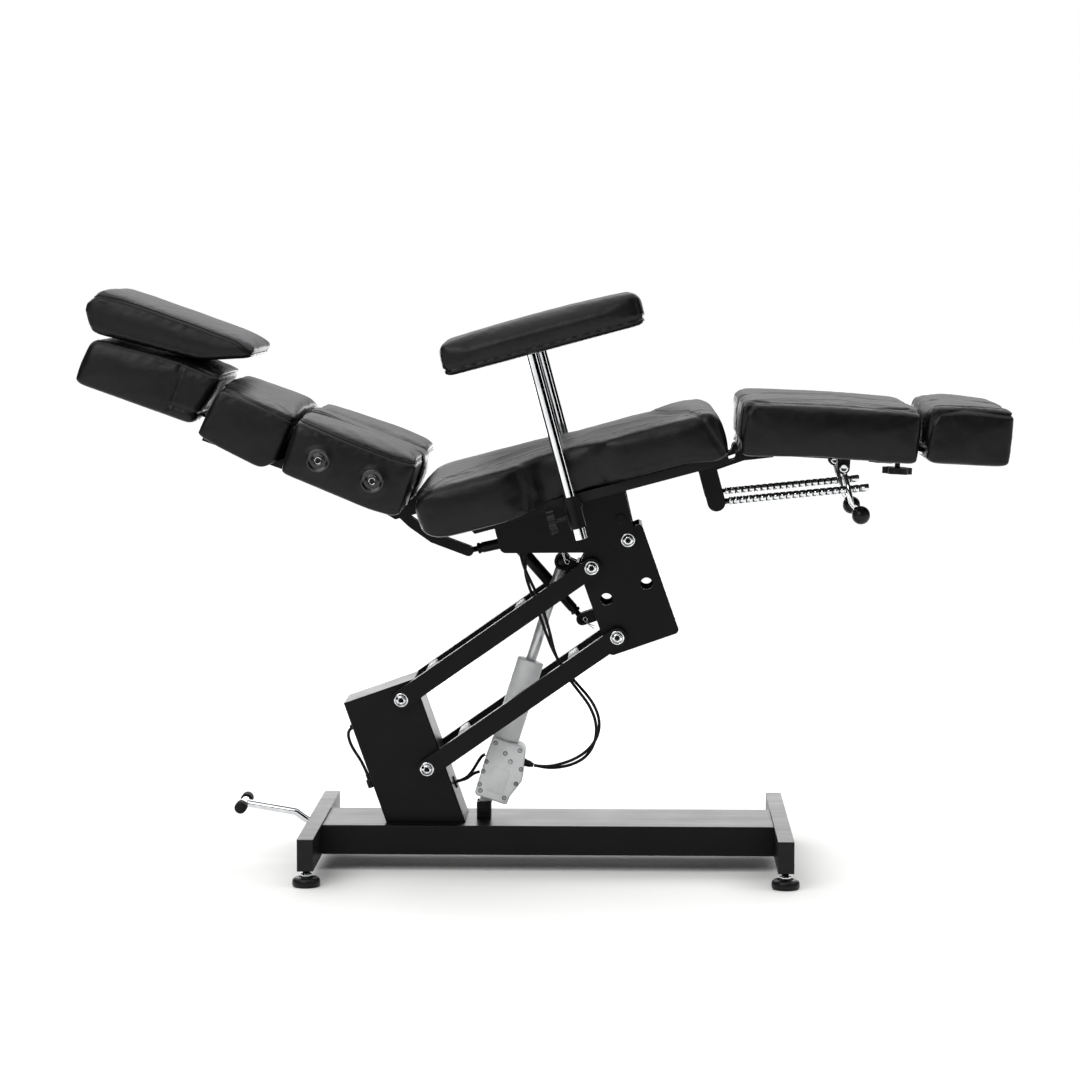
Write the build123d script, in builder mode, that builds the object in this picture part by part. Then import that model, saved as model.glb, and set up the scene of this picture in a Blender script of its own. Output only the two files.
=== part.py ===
from math import atan2, cos, degrees, pi, radians, sin
import os

from build123d import *

os.makedirs("parts", exist_ok=True)

# Sizes in millimetres. X runs from the head end to the foot end, Y across, Z up.
# The origin is on the floor under the middle of the overall length.

# Fits and cuts
running_fit = 0.05  # radial clearance of a turning or sliding fit
soft_gap = 0.3  # clearance between neighbours that move past each other
side_gap = 0.5  # clearance beside lugs and cheeks
overrun = 20  # how far a cut reaches past what it cuts

# Base
base_length = 922
base_middle_x = 12
bar_width = 30
bar_height = 60
bar_length = 560
bar_wall = 2.5
floor_gap = 32
beam_width = 200
beam_height = 56
beam_wall = 3

# Lift linkage: two pairs of equal arms between the tower and the tilt bracket
tower_tilt = 19.4
lower_pivot_x = -219
lower_pivot_z = 194
pivot_step_x = 49
pivot_step_z = 133
arm_length = 443
arm_angle = 35
arm_height = 36
arm_width = 16
arm_inside = 66  # from the middle plane to the inner face of an arm
pin_radius = 10

# Seat, back and leg frames
seat_pivot_along = 80.39  # in the bracket's frame
seat_pivot_up = 167.73
seat_angle = 15
back_pivot_along = -300
back_pivot_up = 168
back_angle = 160.3
cushion_left = -366
cushion_length = 597
leg_pivot_along = cushion_left + cushion_length + 16
leg_pivot_up = 106
leg_angle = -3

# Lift actuator
lift_foot_x = -114
lift_foot_z = 109
lift_top_setback = 42.56  # along the upper arm, short of its far end
lift_top_up = 37.3


def side_frame(x, z, angle, turned=False):
    """Plane of a side view: its x runs along the angle, its y runs up."""
    a = radians(angle)
    y_way = 1 if turned else -1
    return Plane(origin=(x, 0, z), x_dir=(cos(a), 0, sin(a)), z_dir=(0, y_way, 0))


def at_y(frame, y):
    """The same side plane at another place across the chair."""
    return Plane(origin=(frame.origin.X, y, frame.origin.Z), x_dir=frame.x_dir, z_dir=frame.z_dir)


def place(frame, along, up, y=0):
    """The world point of a place given in a side plane."""
    point = frame.from_local_coords((along, up, 0))
    return Vector(point.X, y, point.Z)


base_left_x = base_middle_x - base_length / 2
base_right_x = base_middle_x + base_length / 2
beam_top = floor_gap + beam_height

tower = side_frame(lower_pivot_x, lower_pivot_z, tower_tilt)
upper_pivot = Vector(lower_pivot_x - pivot_step_x, 0, lower_pivot_z + pivot_step_z)
upper_frame = side_frame(upper_pivot.X, upper_pivot.Z, arm_angle)
lower_frame = side_frame(lower_pivot_x, lower_pivot_z, arm_angle)
upper_end = place(upper_frame, arm_length, 0)
lower_end = place(lower_frame, arm_length, 0)
bracket = side_frame(lower_end.X, lower_end.Z, tower_tilt)
seat_pivot = place(bracket, seat_pivot_along, seat_pivot_up)
seat = side_frame(seat_pivot.X, seat_pivot.Z, seat_angle)
back_pivot = place(seat, back_pivot_along, back_pivot_up)
back = side_frame(back_pivot.X, back_pivot.Z, back_angle, turned=True)
leg_pivot = place(seat, leg_pivot_along, leg_pivot_up)
leg = side_frame(leg_pivot.X, leg_pivot.Z, leg_angle)
lift_foot = Vector(lift_foot_x, 0, lift_foot_z)
lift_reach = place(upper_frame, arm_length - lift_top_setback, lift_top_up) - lift_foot
lift_length = lift_reach.length
lift_angle = degrees(atan2(lift_reach.Z, lift_reach.X))
lift = side_frame(lift_foot_x, lift_foot_z, lift_angle, turned=True)


def scaled(shares, corner_along, corner_up, length, height):
    """Outline points and corner radii from shares of a length and a height."""
    points = [(corner_along + s * length, corner_up + t * height) for s, t, r in shares]
    return points, [r * height for s, t, r in shares]


def side_body(frame, points, radii, y_middle, width, mode=Mode.ADD):
    """A side outline with rounded corners, extruded across the chair."""
    with BuildSketch(at_y(frame, y_middle)) as outline:
        with BuildLine():
            FilletPolyline(*points, radius=radii, close=True)
        make_face()
    extrude(outline.sketch, amount=width / 2, both=True, mode=mode)


def side_block(frame, points, y_middle, width, mode=Mode.ADD):
    """A side outline with sharp corners, extruded across the chair."""
    with BuildSketch(at_y(frame, y_middle)) as outline:
        with BuildLine():
            Polyline(*points, close=True)
        make_face()
    extrude(outline.sketch, amount=width / 2, both=True, mode=mode)


def side_box(frame, left, right, low, high, y_low, y_high, mode=Mode.ADD):
    """A box given by its limits in a side plane and across the chair."""
    corners = [(left, low), (right, low), (right, high), (left, high)]
    side_block(frame, corners, (y_low + y_high) / 2, y_high - y_low, mode)


def cross_pin(frame, along, up, radius, y_low, y_high, mode=Mode.ADD):
    """A round pin, or a round hole, that runs across the chair."""
    with BuildSketch(at_y(frame, (y_low + y_high) / 2)) as circle:
        with Locations((along, up)):
            Circle(radius)
    extrude(circle.sketch, amount=(y_high - y_low) / 2, both=True, mode=mode)


def rod(start, end, radius, mode=Mode.ADD):
    """A round bar, or a round hole, from one world point to another."""
    way = end - start
    with BuildSketch(Plane(origin=start, z_dir=way)) as circle:
        Circle(radius)
    extrude(circle.sketch, amount=way.length, mode=mode)


def link(frame, along, up, length, radius, y_middle, width, mode=Mode.ADD):
    """A flat link with round ends, from a place along the plane's x."""
    with BuildSketch(at_y(frame, y_middle)) as outline:
        with Locations((along + length / 2, up)):
            SlotCenterToCenter(length, 2 * radius)
    extrude(outline.sketch, amount=width / 2, both=True, mode=mode)


def crown(frame, y_middle, width, low, edge, crest, corner, mode=Mode.INTERSECT):
    """Keeps what lies in a section with a bowed top and rounded lower corners."""
    up = frame.y_dir
    section_plane = Plane(
        origin=(frame.origin.X, y_middle, frame.origin.Z),
        x_dir=(0, 1, 0),
        z_dir=Vector(0, 1, 0).cross(up),
    )
    half = width / 2
    with BuildSketch(section_plane) as section:
        with BuildLine():
            Polyline((-half, edge), (-half, low), (half, low), (half, edge))
            ThreePointArc((half, edge), (0, crest), (-half, edge))
        make_face()
        fillet(section.vertices(), corner)
    extrude(section.sketch, amount=base_length, both=True, mode=mode)


def plan(frame, points, radii, mode=Mode.INTERSECT):
    """Keeps what lies in an outline seen from above the pad."""
    above = Plane(origin=frame.origin, x_dir=frame.x_dir, z_dir=frame.y_dir)
    turn = 1 if above.y_dir.Y > 0 else -1
    with BuildSketch(above) as outline:
        with BuildLine():
            FilletPolyline(*[(u, turn * y) for u, y in points], radius=radii, close=True)
        make_face()
    extrude(outline.sketch, amount=base_length, both=True, mode=mode)


def export(part, label):
    """Writes one finished piece under its name."""
    part.label = label
    export_step(part, f"parts/{label}.step")
    print(label, "volume", round(part.volume), "solids", len(part.solids()))


# Base frame
bar_middles = [base_left_x + bar_width / 2, base_right_x - bar_width / 2]
beam_left = base_left_x + bar_width
beam_right = base_right_x - bar_width
ground = side_frame(0, 0, 0)

with BuildPart() as base_beam:
    half = beam_width / 2
    side_box(ground, beam_left, beam_right, floor_gap, beam_top, -half, half)
    side_box(
        ground,
        beam_left - overrun,
        beam_right + overrun,
        floor_gap + beam_wall,
        beam_top - beam_wall,
        beam_wall - half,
        half - beam_wall,
        mode=Mode.SUBTRACT,
    )
    fillet(base_beam.edges().filter_by(Axis.X).group_by(Axis.Z)[-1], beam_wall)
export(base_beam.part, "base_beam")

# The pedal rocks on a pin between two ribs inside the left cross bar
pedal_rod_radius = 7.5
pedal_pivot_x = bar_middles[0]
pedal_pivot_z = 79
pedal_pin_radius = 4
pedal_eye_radius = 9
pedal_eye_width = 17
pedal_rib = 3
pedal_slot_low = 70
pedal_slot_high = 90.2
level_place = bar_length / 2 - 25
level_stem_radius = 5
cap_depth = 8
cap_face = 3

with BuildPart() as cross_bars:
    for middle in bar_middles:
        tube_half = bar_length / 2 - cap_face
        left, right = middle - bar_width / 2, middle + bar_width / 2
        side_box(ground, left, right, floor_gap, floor_gap + bar_height, -tube_half, tube_half)
        side_box(
            ground,
            left + bar_wall,
            right - bar_wall,
            floor_gap + bar_wall,
            floor_gap + bar_height - bar_wall,
            -bar_length,
            bar_length,
            mode=Mode.SUBTRACT,
        )
        with Locations(
            (middle, -level_place, floor_gap),
            (middle, level_place, floor_gap),
        ):
            Cylinder(level_stem_radius + running_fit, overrun, mode=Mode.SUBTRACT)
    slot_half = pedal_rod_radius + side_gap
    side_box(
        ground,
        base_left_x - overrun,
        base_left_x + bar_wall + side_gap,
        pedal_slot_low,
        pedal_slot_high,
        -slot_half,
        slot_half,
        mode=Mode.SUBTRACT,
    )
    rib_inside = pedal_eye_width / 2 + side_gap
    for way in (-1, 1):
        y_ends = sorted((way * rib_inside, way * (rib_inside + pedal_rib)))
        side_box(
            ground,
            bar_middles[0] - bar_width / 2 + bar_wall,
            bar_middles[0] + bar_width / 2 - bar_wall,
            floor_gap + bar_wall,
            floor_gap + bar_height - bar_wall,
            *y_ends,
        )
        cross_pin(
            ground,
            pedal_pivot_x,
            pedal_pivot_z,
            pedal_pin_radius + running_fit,
            *y_ends,
            mode=Mode.SUBTRACT,
        )
export(cross_bars.part, "cross_bars")

with BuildPart() as bar_end_caps:
    for middle in bar_middles:
        for way in (-1, 1):
            plug_mid = way * (bar_length / 2 - cap_face - cap_depth / 2)
            face_mid = way * (bar_length / 2 - cap_face / 2)
            cap_z = floor_gap + bar_height / 2
            with Locations((middle, plug_mid, cap_z)):
                Box(bar_width - 2 * bar_wall, cap_depth, bar_height - 2 * bar_wall)
            with Locations((middle, face_mid, cap_z)):
                Box(bar_width, cap_face, bar_height)
    fillet(bar_end_caps.edges().group_by(Axis.Y)[0], cap_face / 2)
    fillet(bar_end_caps.edges().group_by(Axis.Y)[-1], cap_face / 2)
export(bar_end_caps.part, "bar_end_caps")

# Levelling feet: a pad, a threaded stem and a lock nut, screwed into each bar end
foot_pad_radius = 25
foot_pad_edge = 8
foot_neck_radius = 12
foot_neck_height = 15
foot_top = 21
nut_height = 8
nut_across = 17
stem_top = 58

level_names = ["level_foot_head_near", "level_foot_head_far", "level_foot_toe_near", "level_foot_toe_far"]
level_places = [(middle, way * level_place) for middle in bar_middles for way in (-1, 1)]
for level_name, (foot_x, foot_y) in zip(level_names, level_places):
    with BuildPart() as level_foot:
        with BuildSketch(Plane(origin=(foot_x, foot_y, 0), x_dir=(1, 0, 0), z_dir=(0, -1, 0))) as half_foot:
            with BuildLine():
                Polyline(
                    (0, 0),
                    (foot_pad_radius, 0),
                    (foot_pad_radius, foot_pad_edge),
                    (foot_neck_radius, foot_neck_height),
                    (foot_neck_radius, foot_top),
                    (level_stem_radius, foot_top),
                    (level_stem_radius, stem_top),
                    (0, stem_top),
                    close=True,
                )
            make_face()
        revolve(half_foot.sketch, axis=Axis((foot_x, foot_y, 0), (0, 0, 1)))
        nut_low = floor_gap - soft_gap - nut_height
        with BuildSketch(Plane.XY.offset(nut_low)) as nut:
            with Locations((foot_x, foot_y)):
                RegularPolygon(nut_across / 2, 6, major_radius=False)
        extrude(nut.sketch, amount=nut_height)
    export(level_foot.part, level_name)

# Tower
tower_width = 124
tower_left = -111
tower_right = 33
tower_top = 170
tower_wall = 4
tower_edge = 3
grommet_along = 33
grommet_x = -164
grommet_z = 156
grommet_radius = 9
grommet_lip = 3
lead_hole_radius = 4


def tower_foot(right):
    """How high the beam's top lies in the tower's own plane."""
    tilt = radians(tower_tilt)
    return (beam_top - lower_pivot_z - right * sin(tilt)) / cos(tilt)


grommet_up = (grommet_z - lower_pivot_z - grommet_along * sin(radians(tower_tilt))) / cos(radians(tower_tilt))
lead_entry_up = 40
lead_exit_up = 118
upper_pin_right, upper_pin_up = tower.to_local_coords(upper_pivot).X, tower.to_local_coords(upper_pivot).Y

with BuildPart() as tower_column:
    side_block(
        tower,
        [
            (tower_left, tower_foot(tower_left)),
            (tower_right, tower_foot(tower_right)),
            (tower_right, tower_top),
            (tower_left, tower_top),
        ],
        0,
        tower_width,
    )
    fillet(tower_column.edges().filter_by(Axis(tower.origin, tower.y_dir)), tower_edge)
    inner_left, inner_right = tower_left + tower_wall, tower_right - tower_wall
    side_block(
        tower,
        [
            (inner_left, tower_foot(inner_left) - overrun),
            (inner_right, tower_foot(inner_right) - overrun),
            (inner_right, tower_top - tower_wall),
            (inner_left, tower_top - tower_wall),
        ],
        0,
        tower_width - 2 * tower_wall,
        mode=Mode.SUBTRACT,
    )
    for right, up in ((0, 0), (upper_pin_right, upper_pin_up)):
        cross_pin(tower, right, up, pin_radius, -tower_width, tower_width, mode=Mode.SUBTRACT)
    rod(
        place(tower, tower_right - overrun, grommet_up),
        place(tower, tower_right + overrun, grommet_up),
        grommet_radius,
        mode=Mode.SUBTRACT,
    )
    rod(
        place(tower, tower_left - overrun, lead_exit_up),
        place(tower, tower_left + overrun, lead_exit_up),
        lead_hole_radius,
        mode=Mode.SUBTRACT,
    )
export(tower_column.part, "tower_column")

with BuildPart() as tower_grommet:
    rod(
        place(tower, tower_right - tower_wall, grommet_up),
        place(tower, tower_right + grommet_lip, grommet_up),
        grommet_radius,
    )
    rod(
        place(tower, tower_right, grommet_up),
        place(tower, tower_right + grommet_lip, grommet_up),
        grommet_radius + grommet_lip,
    )
    grommet_rims = tower_grommet.edges().filter_by(GeomType.CIRCLE)
    fillet(grommet_rims.sort_by(Axis(tower.origin, tower.x_dir))[-1], grommet_lip / 2)
export(tower_grommet.part, "tower_grommet")

# Pivot bolts of the tower, with a bush each side and a domed head outside each arm
bolt_head_radius = 13
bolt_head = 4
bush_radius = 15
arm_outside = arm_inside + arm_width


def pivot_bolt(frame, along, up, shaft_inside):
    """A bolt through a pair of arms, with bushes that hold the arms apart."""
    cross_pin(frame, along, up, pin_radius, -arm_outside - soft_gap, arm_outside + soft_gap)
    for way in (-1, 1):
        bush = sorted((way * shaft_inside, way * (arm_inside - soft_gap)))
        cross_pin(frame, along, up, bush_radius, *bush)
        head = sorted((way * (arm_outside + soft_gap), way * (arm_outside + soft_gap + bolt_head)))
        cross_pin(frame, along, up, bolt_head_radius, *head)


with BuildPart() as tower_pins:
    pivot_bolt(tower, 0, 0, tower_width / 2)
    pivot_bolt(tower, upper_pin_right, upper_pin_up, tower_width / 2)
    fillet(tower_pins.edges().group_by(Axis.Y)[0], bolt_head / 2)
    fillet(tower_pins.edges().group_by(Axis.Y)[-1], bolt_head / 2)
export(tower_pins.part, "tower_pins")

# Clevis on the beam that carries the lift actuator's foot
clevis_left = -127
clevis_right = -100
clevis_top = 121
clevis_inside = 12
clevis_cheek = 6
lift_pin_radius = 6

with BuildPart() as lift_clevis:
    for way in (-1, 1):
        cheek = sorted((way * clevis_inside, way * (clevis_inside + clevis_cheek)))
        side_box(ground, clevis_left, clevis_right, beam_top, clevis_top, *cheek)
    cross_pin(
        ground,
        lift_foot_x,
        lift_foot_z,
        lift_pin_radius,
        -clevis_inside - clevis_cheek,
        clevis_inside + clevis_cheek,
    )
    head = clevis_inside + clevis_cheek + bolt_head
    cross_pin(ground, lift_foot_x, lift_foot_z, 1.5 * lift_pin_radius, -head, -clevis_inside - clevis_cheek)
    cross_pin(ground, lift_foot_x, lift_foot_z, 1.5 * lift_pin_radius, clevis_inside + clevis_cheek, head)
export(lift_clevis.part, "lift_clevis")

# Short power lead: out of the tower's left face, then down along it to a plug
lead_radius = 3
plug_radius = 7
plug_length = 26
lead_y = -30
lead_route = [
    (tower_left - side_gap, lead_exit_up),
    (tower_left - 9, lead_exit_up - 2),
    (tower_left - 16, lead_exit_up - 10),
    (tower_left - 18, lead_exit_up - 25),
    (tower_left - 16, lead_exit_up - 43),
    (tower_left - 11, lead_exit_up - 61),
    (tower_left - 8, lead_exit_up - 79),
    (tower_left - plug_radius, lead_exit_up - 97),
]


def cord_radii(points):
    """Arc radii as large as the runs beside each corner allow."""
    radii = []
    for before, corner, after in zip(points, points[1:], points[2:]):
        first, second = corner - before, after - corner
        half_turn = radians(first.get_angle(second)) / 2
        radii.append(0.45 * min(first.length, second.length) * cos(half_turn) / sin(half_turn))
    return radii


def cord(points, radius):
    """A tube along straight runs joined by tangent arcs."""
    radii = cord_radii(points)
    with BuildLine():
        path = FilletPolyline(*points, radius=radii)
    with BuildSketch(Plane(origin=points[0], z_dir=points[1] - points[0])) as circle:
        Circle(radius)
    sweep(circle.sketch, path=path)
    print("radii", [round(r) for r in radii], "length times section", round(path.length * pi * radius**2))


with BuildPart() as power_lead:
    cord([place(tower, right, up, lead_y) for right, up in lead_route], lead_radius)
    last_right, last_up = lead_route[-1]
    rod(
        place(tower, last_right, last_up, lead_y),
        place(tower, last_right, last_up - plug_length, lead_y),
        plug_radius,
    )
export(power_lead.part, "power_lead")

# Foot pedal: a bent rod with a cross bar and two rubber grips
pedal_half_width = 62
pedal_bar_radius = 8.2
pedal_end_x = -580
pedal_end_z = 114
grip_radius = 10.5
grip_length = 26

with BuildPart() as pedal_lever:
    pedal_points = [
        Vector(pedal_pivot_x, 0, pedal_pivot_z),
        Vector(base_left_x - pedal_rod_radius, 0, pedal_pivot_z + 2),
        Vector(base_left_x - 4 * pedal_rod_radius, 0, pedal_pivot_z + 18),
        Vector(pedal_end_x, 0, pedal_end_z),
    ]
    with BuildLine() as pedal_path:
        FilletPolyline(*pedal_points, radius=1.6 * pedal_rod_radius)
    pedal_start = Plane(origin=pedal_points[0], z_dir=pedal_points[1] - pedal_points[0])
    with BuildSketch(pedal_start) as pedal_section:
        Circle(pedal_rod_radius)
    sweep(pedal_section.sketch, path=pedal_path.line)
    cross_pin(ground, pedal_end_x, pedal_end_z, pedal_bar_radius, -pedal_half_width, pedal_half_width)
    cross_pin(
        ground, pedal_pivot_x, pedal_pivot_z, pedal_eye_radius, -pedal_eye_width / 2, pedal_eye_width / 2
    )
    pin_half = pedal_eye_width / 2 + side_gap + pedal_rib
    cross_pin(ground, pedal_pivot_x, pedal_pivot_z, pedal_pin_radius, -pin_half, pin_half)
    for way in (-1, 1):
        grip_ends = sorted((way * (pedal_half_width - grip_length), way * pedal_half_width))
        cross_pin(ground, pedal_end_x, pedal_end_z, grip_radius, *grip_ends)
    fillet(pedal_lever.edges().group_by(Axis.Y)[0], grip_radius / 4)
    fillet(pedal_lever.edges().group_by(Axis.Y)[-1], grip_radius / 4)
export(pedal_lever.part, "pedal_lever")

# Lift arms: two flat bars a pair, joined by two light cross plates
cross_plate_length = 20
cross_plate_height = 6
upper_plates = [75, 283]
lower_plates = [90, 348]
tongue_along = 326
tongue_width = 24
tongue_wall = 4


def arm_pair(frame, plates):
    """Two parallel arms with cross plates at given distances from the first pivot."""
    for way in (-1, 1):
        middle = way * (arm_inside + arm_width / 2)
        link(frame, 0, 0, arm_length, arm_height / 2, middle, arm_width)
        for along in (0, arm_length):
            ends = sorted((way * (arm_inside - overrun), way * (arm_inside + arm_width + overrun)))
            cross_pin(frame, along, 0, pin_radius + running_fit, *ends, mode=Mode.SUBTRACT)
    for along in plates:
        left, right = along - cross_plate_length / 2, along + cross_plate_length / 2
        side_box(frame, left, right, -cross_plate_height / 2, cross_plate_height / 2, -arm_inside, arm_inside)


with BuildPart() as upper_arms:
    arm_pair(upper_frame, upper_plates)
export(upper_arms.part, "upper_arms")

with BuildPart() as lower_arms:
    arm_pair(lower_frame, lower_plates)
    tongue_y = [lead_y - tongue_width / 2, lead_y + tongue_width / 2]
    side_box(lower_frame, tongue_along, lower_plates[-1], -tongue_wall / 2, tongue_wall / 2, *tongue_y)
export(lower_arms.part, "lower_arms")

# Tilt bracket: a channel with its web toward the foot end
bracket_left = -27
bracket_low = -32
bracket_length = 142
bracket_height = 222
bracket_outside = 60
bracket_wall = 5
lightening_radius = 11.5
lightening_holes = [(4, 74), (86, 77)]
bracket_shares = [(1, 1, 0.04), (1, 0, 0.04), (0, 0, 0.05), (0, 0.82, 0.09), (0.26, 0.98, 0.14)]
bracket_points, bracket_radii = scaled(
    bracket_shares, bracket_left, bracket_low, bracket_length, bracket_height
)
upper_end_right, upper_end_up = bracket.to_local_coords(upper_end).X, bracket.to_local_coords(upper_end).Y
seat_hole = bracket.to_local_coords(seat_pivot)

# Lug pair for the lift rod, on a plate across the channel
lift_end = place(lift, lift_length, 0)
lift_eye = bracket.to_local_coords(lift_end)
lug_radius = 16
lug_inside = 14
lug_width = 6
open_play = 6
rod_pin_radius = 5
lug_hole_radius = rod_pin_radius + open_play + side_gap

# Lug pair for the tilt rod
tilt_y = 38
tilt_eye_x = 76
tilt_eye_z = 471
tilt_eye_width = 12
tilt_lug_radius = 12
tilt_lug_width = 5
tilt_pin_radius = 5
tilt_play = 1.5
tilt_eye = bracket.to_local_coords(Vector(tilt_eye_x, 0, tilt_eye_z))

with BuildPart() as tilt_bracket:
    side_body(bracket, bracket_points, bracket_radii, 0, 2 * bracket_outside)
    channel_right = bracket_left + bracket_length - bracket_wall
    side_box(
        bracket,
        bracket_left - overrun,
        channel_right,
        bracket_low - overrun,
        bracket_low + bracket_height + overrun,
        bracket_wall - bracket_outside,
        bracket_outside - bracket_wall,
        mode=Mode.SUBTRACT,
    )
    plate_inside = bracket_outside - bracket_wall
    lug_root = upper_end_up + lug_radius
    side_box(
        bracket,
        bracket_left,
        bracket_left + bracket_wall,
        tilt_eye.Y - tilt_lug_radius,
        lug_root,
        -plate_inside,
        plate_inside,
    )
    for way in (-1, 1):
        middle = way * (lug_inside + lug_width / 2)
        lug_points = [
            (bracket_left, lug_root),
            (lift_eye.X, lift_eye.Y + lug_radius),
            (lift_eye.X, lift_eye.Y - lug_radius),
            (bracket_left, lug_root - 3 * lug_radius),
        ]
        side_block(bracket, lug_points, middle, lug_width)
        cross_pin(bracket, lift_eye.X, lift_eye.Y, lug_radius, middle - lug_width / 2, middle + lug_width / 2)
        tilt_middle = tilt_y + way * (tilt_eye_width / 2 + side_gap + tilt_lug_width / 2)
        tilt_points = [
            (bracket_left, tilt_eye.Y + tilt_lug_radius),
            (tilt_eye.X, tilt_eye.Y + tilt_lug_radius),
            (tilt_eye.X, tilt_eye.Y - tilt_lug_radius),
            (bracket_left, tilt_eye.Y - tilt_lug_radius),
        ]
        side_block(bracket, tilt_points, tilt_middle, tilt_lug_width)
        cross_pin(
            bracket,
            tilt_eye.X,
            tilt_eye.Y,
            tilt_lug_radius,
            tilt_middle - tilt_lug_width / 2,
            tilt_middle + tilt_lug_width / 2,
        )
    cross_pin(
        bracket, lift_eye.X, lift_eye.Y, lug_hole_radius, -bracket_outside, bracket_outside, mode=Mode.SUBTRACT
    )
    cross_pin(
        bracket,
        tilt_eye.X,
        tilt_eye.Y,
        tilt_pin_radius + tilt_play,
        -bracket_outside,
        bracket_outside,
        mode=Mode.SUBTRACT,
    )
    pin_places = [(0, 0), (upper_end_right, upper_end_up), (seat_hole.X, seat_hole.Y)]
    for right, up in pin_places:
        cross_pin(bracket, right, up, pin_radius, -2 * arm_inside, 2 * arm_inside, mode=Mode.SUBTRACT)
    for right, up in lightening_holes:
        cross_pin(bracket, right, up, lightening_radius, -2 * arm_inside, 2 * arm_inside, mode=Mode.SUBTRACT)
export(tilt_bracket.part, "tilt_bracket")

# Bolts of the bracket: two through the arms' ends, one through the seat carrier
carrier_inside = 61
carrier_wall = 4

with BuildPart() as bracket_pins:
    pivot_bolt(bracket, 0, 0, bracket_outside)
    pivot_bolt(bracket, upper_end_right, upper_end_up, bracket_outside)
    seat_pin_half = carrier_inside + carrier_wall + soft_gap
    cross_pin(bracket, seat_hole.X, seat_hole.Y, pin_radius, -seat_pin_half, seat_pin_half)
    for way in (-1, 1):
        head = sorted((way * seat_pin_half, way * (seat_pin_half + bolt_head)))
        cross_pin(bracket, seat_hole.X, seat_hole.Y, bolt_head_radius, *head)
export(bracket_pins.part, "bracket_pins")

# Lift actuator: gearbox with a tail eye, outer tube, rod
gearbox_left = 21
gearbox_low = -26
gearbox_length = 119
gearbox_height = 81
gearbox_half_width = 32
gearbox_shares = [
    (1, 0.02, 0.07),
    (0.99, 0.84, 0.17),
    (0.45, 1, 0.25),
    (0.14, 0.83, 0.1),
    (0, 0.82, 0.06),
    (0, 0.01, 0.1),
    (0.64, 0, 0.25),
]
tail_radius = 12
tail_half_width = 11.5
tube_radius = 26
tube_end = 300
lift_rod_radius = 10
rod_inner_end = 205
bore_start = 30
rod_eye_radius = 14
rod_eye_half_width = 13

with BuildPart() as lift_gearbox:
    gearbox_points, gearbox_radii = scaled(
        gearbox_shares, gearbox_left, gearbox_low, gearbox_length, gearbox_height
    )
    side_body(lift, gearbox_points, gearbox_radii, 0, 2 * gearbox_half_width)
    fillet(lift_gearbox.edges().group_by(Axis.Y)[0], gearbox_half_width / 8)
    fillet(lift_gearbox.edges().group_by(Axis.Y)[-1], gearbox_half_width / 8)
    cross_pin(lift, 0, 0, tail_radius, -tail_half_width, tail_half_width)
    side_box(
        lift, 0, gearbox_left + tail_radius, -tail_radius, tail_radius, -tail_half_width, tail_half_width
    )
    cross_pin(lift, 0, 0, lift_pin_radius + running_fit, -overrun, overrun, mode=Mode.SUBTRACT)
    rod(
        place(lift, bore_start, 0),
        place(lift, tube_end, 0),
        lift_rod_radius + running_fit,
        mode=Mode.SUBTRACT,
    )
export(lift_gearbox.part, "lift_gearbox")

with BuildPart() as lift_tube:
    gearbox_end = gearbox_left + gearbox_length
    rod(place(lift, gearbox_end, 0), place(lift, tube_end, 0), tube_radius)
    fillet(lift_tube.edges().sort_by(Axis.Z)[-1], tube_radius / 8)
    rod(
        place(lift, gearbox_end - overrun, 0),
        place(lift, tube_end + overrun, 0),
        lift_rod_radius + running_fit,
        mode=Mode.SUBTRACT,
    )
export(lift_tube.part, "lift_tube")

# Cover screws on the gearbox's near face and the cable connector on its foot side
screw_radius = 3
screw_head = 2
screw_shares = [(0.1, 0.12), (0.1, 0.72), (0.5, 0.08), (0.42, 0.88), (0.92, 0.12), (0.92, 0.74)]
connector_along = 106
connector_radius = 8
connector_length = 20

with BuildPart() as lift_fittings:
    for s, t in screw_shares:
        for way in (-1, 1):
            ends = sorted((way * gearbox_half_width, way * (gearbox_half_width + screw_head)))
            along = gearbox_left + s * gearbox_length
            cross_pin(lift, along, gearbox_low + t * gearbox_height, screw_radius, *ends)
    rod(
        place(lift, connector_along, gearbox_low + 0.9 * gearbox_height),
        place(lift, connector_along, gearbox_low + 0.9 * gearbox_height + connector_length),
        connector_radius,
    )
export(lift_fittings.part, "lift_fittings")

with BuildPart() as lift_rod:
    rod(place(lift, rod_inner_end, 0), place(lift, lift_length - rod_pin_radius, 0), lift_rod_radius)
    cross_pin(lift, lift_length, 0, rod_eye_radius, -rod_eye_half_width, rod_eye_half_width)
    washer_inside = lug_inside + lug_width + soft_gap
    washer = 2
    pin_end = washer_inside + washer
    cross_pin(lift, lift_length, 0, rod_pin_radius, -pin_end, pin_end)
    for way in (-1, 1):
        ends = sorted((way * washer_inside, way * pin_end))
        cross_pin(lift, lift_length, 0, rod_eye_radius + washer, *ends)
export(lift_rod.part, "lift_rod")

# Seat carrier: two plates under the board, joined by a flange
carrier_left = -240
carrier_low = -28
carrier_length = 259
carrier_height = 131
carrier_shares = [(1, 1, 0.02), (0.98, 0, 0.12), (0, 0.5, 0.09), (0, 1, 0.02)]
carrier_bolt_radius = 9
back_stud_along = -3
back_stud_up = 43
tilt_pivot_along = -220
tilt_pivot_up = 53
board_low = carrier_low + carrier_height

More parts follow.
